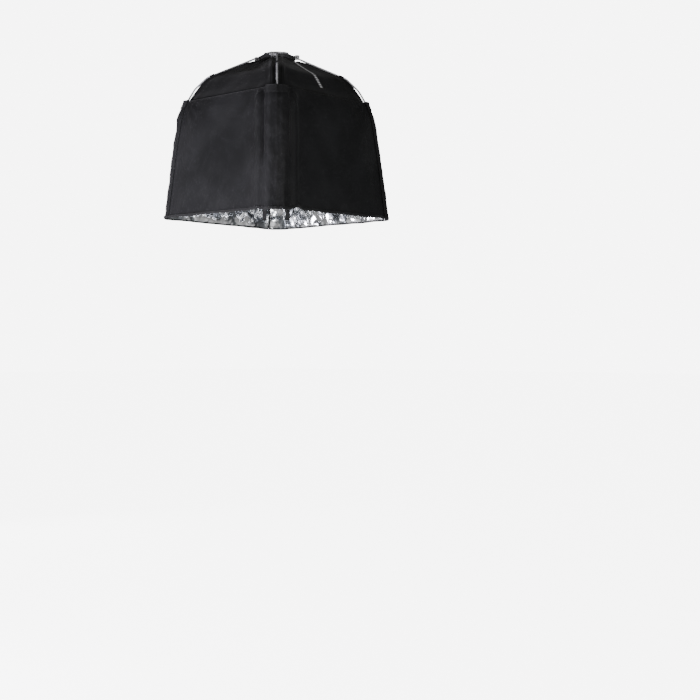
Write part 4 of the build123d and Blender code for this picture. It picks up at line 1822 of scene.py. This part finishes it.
@dataclass
class Studio:
    """The plain floor, the soft lights and the camera.

    The lamps light the front wall from the left and low, the right wall less, and the back edge a little.
    """

    distance: float = 5.80
    below_rim: float = 0.574
    azimuth: float = 45.0
    aside: float = 3.18
    lens: float = 67.6
    floor_below: float = 1.83
    floor_half: float = 60.0
    surround_seen: float = 7.0
    surround_felt: float = 0.085
    floor_seen: float = 6.4
    floor_felt: float = 0.22
    lamps: tuple[Lamp, ...] = (
        Lamp("key", (-0.75, -2.75, -2.1), (0.0, 0.0, -0.65), 1.5, 290.0, (0.93, 0.91, 1.0)),
        Lamp("fill", (4.6, -1.6, -1.1), (0.3, 0.0, -0.6), 1.6, 115.0),
        Lamp("rim", (-4.6, 1.2, -0.9), (0.0, 0.0, -0.4), 1.6, 80.0),
    )

    def camera(self, rim_z: float) -> None:
        """Sets the camera level, below the rim, in line with the front right corner.

        Args:
            rim_z: The rim's height in the frame.
        """
        a = math.radians(self.azimuth)
        data = bpy.data.cameras.new("view")
        data.lens, data.sensor_width = self.lens, 36.0
        data.clip_end = 200.0
        camera = bpy.data.objects.new("view", data)
        height = rim_z - self.below_rim
        camera.location = (math.sin(a) * self.distance, -math.cos(a) * self.distance, height)
        camera.rotation_euler = (math.radians(90.0), 0.0, math.radians(self.azimuth - self.aside))
        bpy.context.scene.collection.objects.link(camera)
        bpy.context.scene.camera = camera

    def world(self) -> None:
        """A white surround that lights softly."""
        world = bpy.data.worlds.new("surround")
        bpy.context.scene.world = world
        world.use_nodes = True
        graph = Graph(world.node_tree)
        world.node_tree.nodes.clear()
        white = colour(1.0, 1.0, 1.0)
        seen = graph.feed(graph.add("ShaderNodeBackground"), {"Color": white, "Strength": self.surround_seen})
        felt = graph.feed(graph.add("ShaderNodeBackground"), {"Color": white, "Strength": self.surround_felt})
        path = graph.add("ShaderNodeLightPath")
        mix = graph.add("ShaderNodeMixShader")
        graph.feed(mix, {0: path.outputs["Is Camera Ray"], 1: felt.outputs[0], 2: seen.outputs[0]})
        out = graph.add("ShaderNodeOutputWorld")
        graph.join(mix.outputs[0], out.inputs[0])

    def floor(self, rim_z: float) -> None:
        """A wide pale floor, far below the hung softbox.

        Args:
            rim_z: The rim's height in the frame.
        """
        size, z = self.floor_half, rim_z - self.floor_below
        verts = np.array([(-size, -size, z), (size, -size, z), (size, size, z), (-size, size, z)])
        s = Shader("pale_floor")
        g = s.graph
        mottle = g.span(g.noise(s.place(), 0.8, 3.0), 0.3, 0.7)
        s.set(Base_Color=g.mix(mottle, colour(0.80, 0.80, 0.80), colour(0.84, 0.84, 0.84)), Roughness=0.8)
        path = g.add("ShaderNodeLightPath").outputs["Is Camera Ray"]
        glow = g.maths("MULTIPLY_ADD", path, self.floor_seen, self.floor_felt)
        s.set(Emission_Color=colour(1.0, 1.0, 1.0), Emission_Strength=glow)
        floor = mesh_object("studio_floor", verts, [[0, 1, 2, 3]], s.material)

    def build(self, rim_z: float) -> None:
        """Sets the camera, the lights, the surround and the floor.

        Args:
            rim_z: The rim's height in the frame.
        """
        self.camera(rim_z)
        for lamp in self.lamps:
            lamp.hang()
        self.world()
        self.floor(rim_z)
        LOG.info("studio ready")


def main() -> None:
    """Builds the softbox, sub-assembly by sub-assembly."""
    logging.basicConfig(level=logging.INFO, format="%(name)s: %(message)s")
    outline = Outline.from_frame()
    Studio().build(outline.rim_z)
    finishes = Finishes()
    Skirt(outline, finishes).build()
    CornerSleeves(outline, finishes).build()
    Roof(outline, finishes).build()
    Rim(outline, finishes).build()
    SeamPiping(outline, finishes).build()
    RodKeepers(outline, finishes).build()
    TieTabs(outline, finishes).build()
    RoofPatch(outline, finishes).build()
    RoofCollar(outline, finishes).build()
    HubMetal(finishes).dress()


if __name__ == "__main__":
    main()
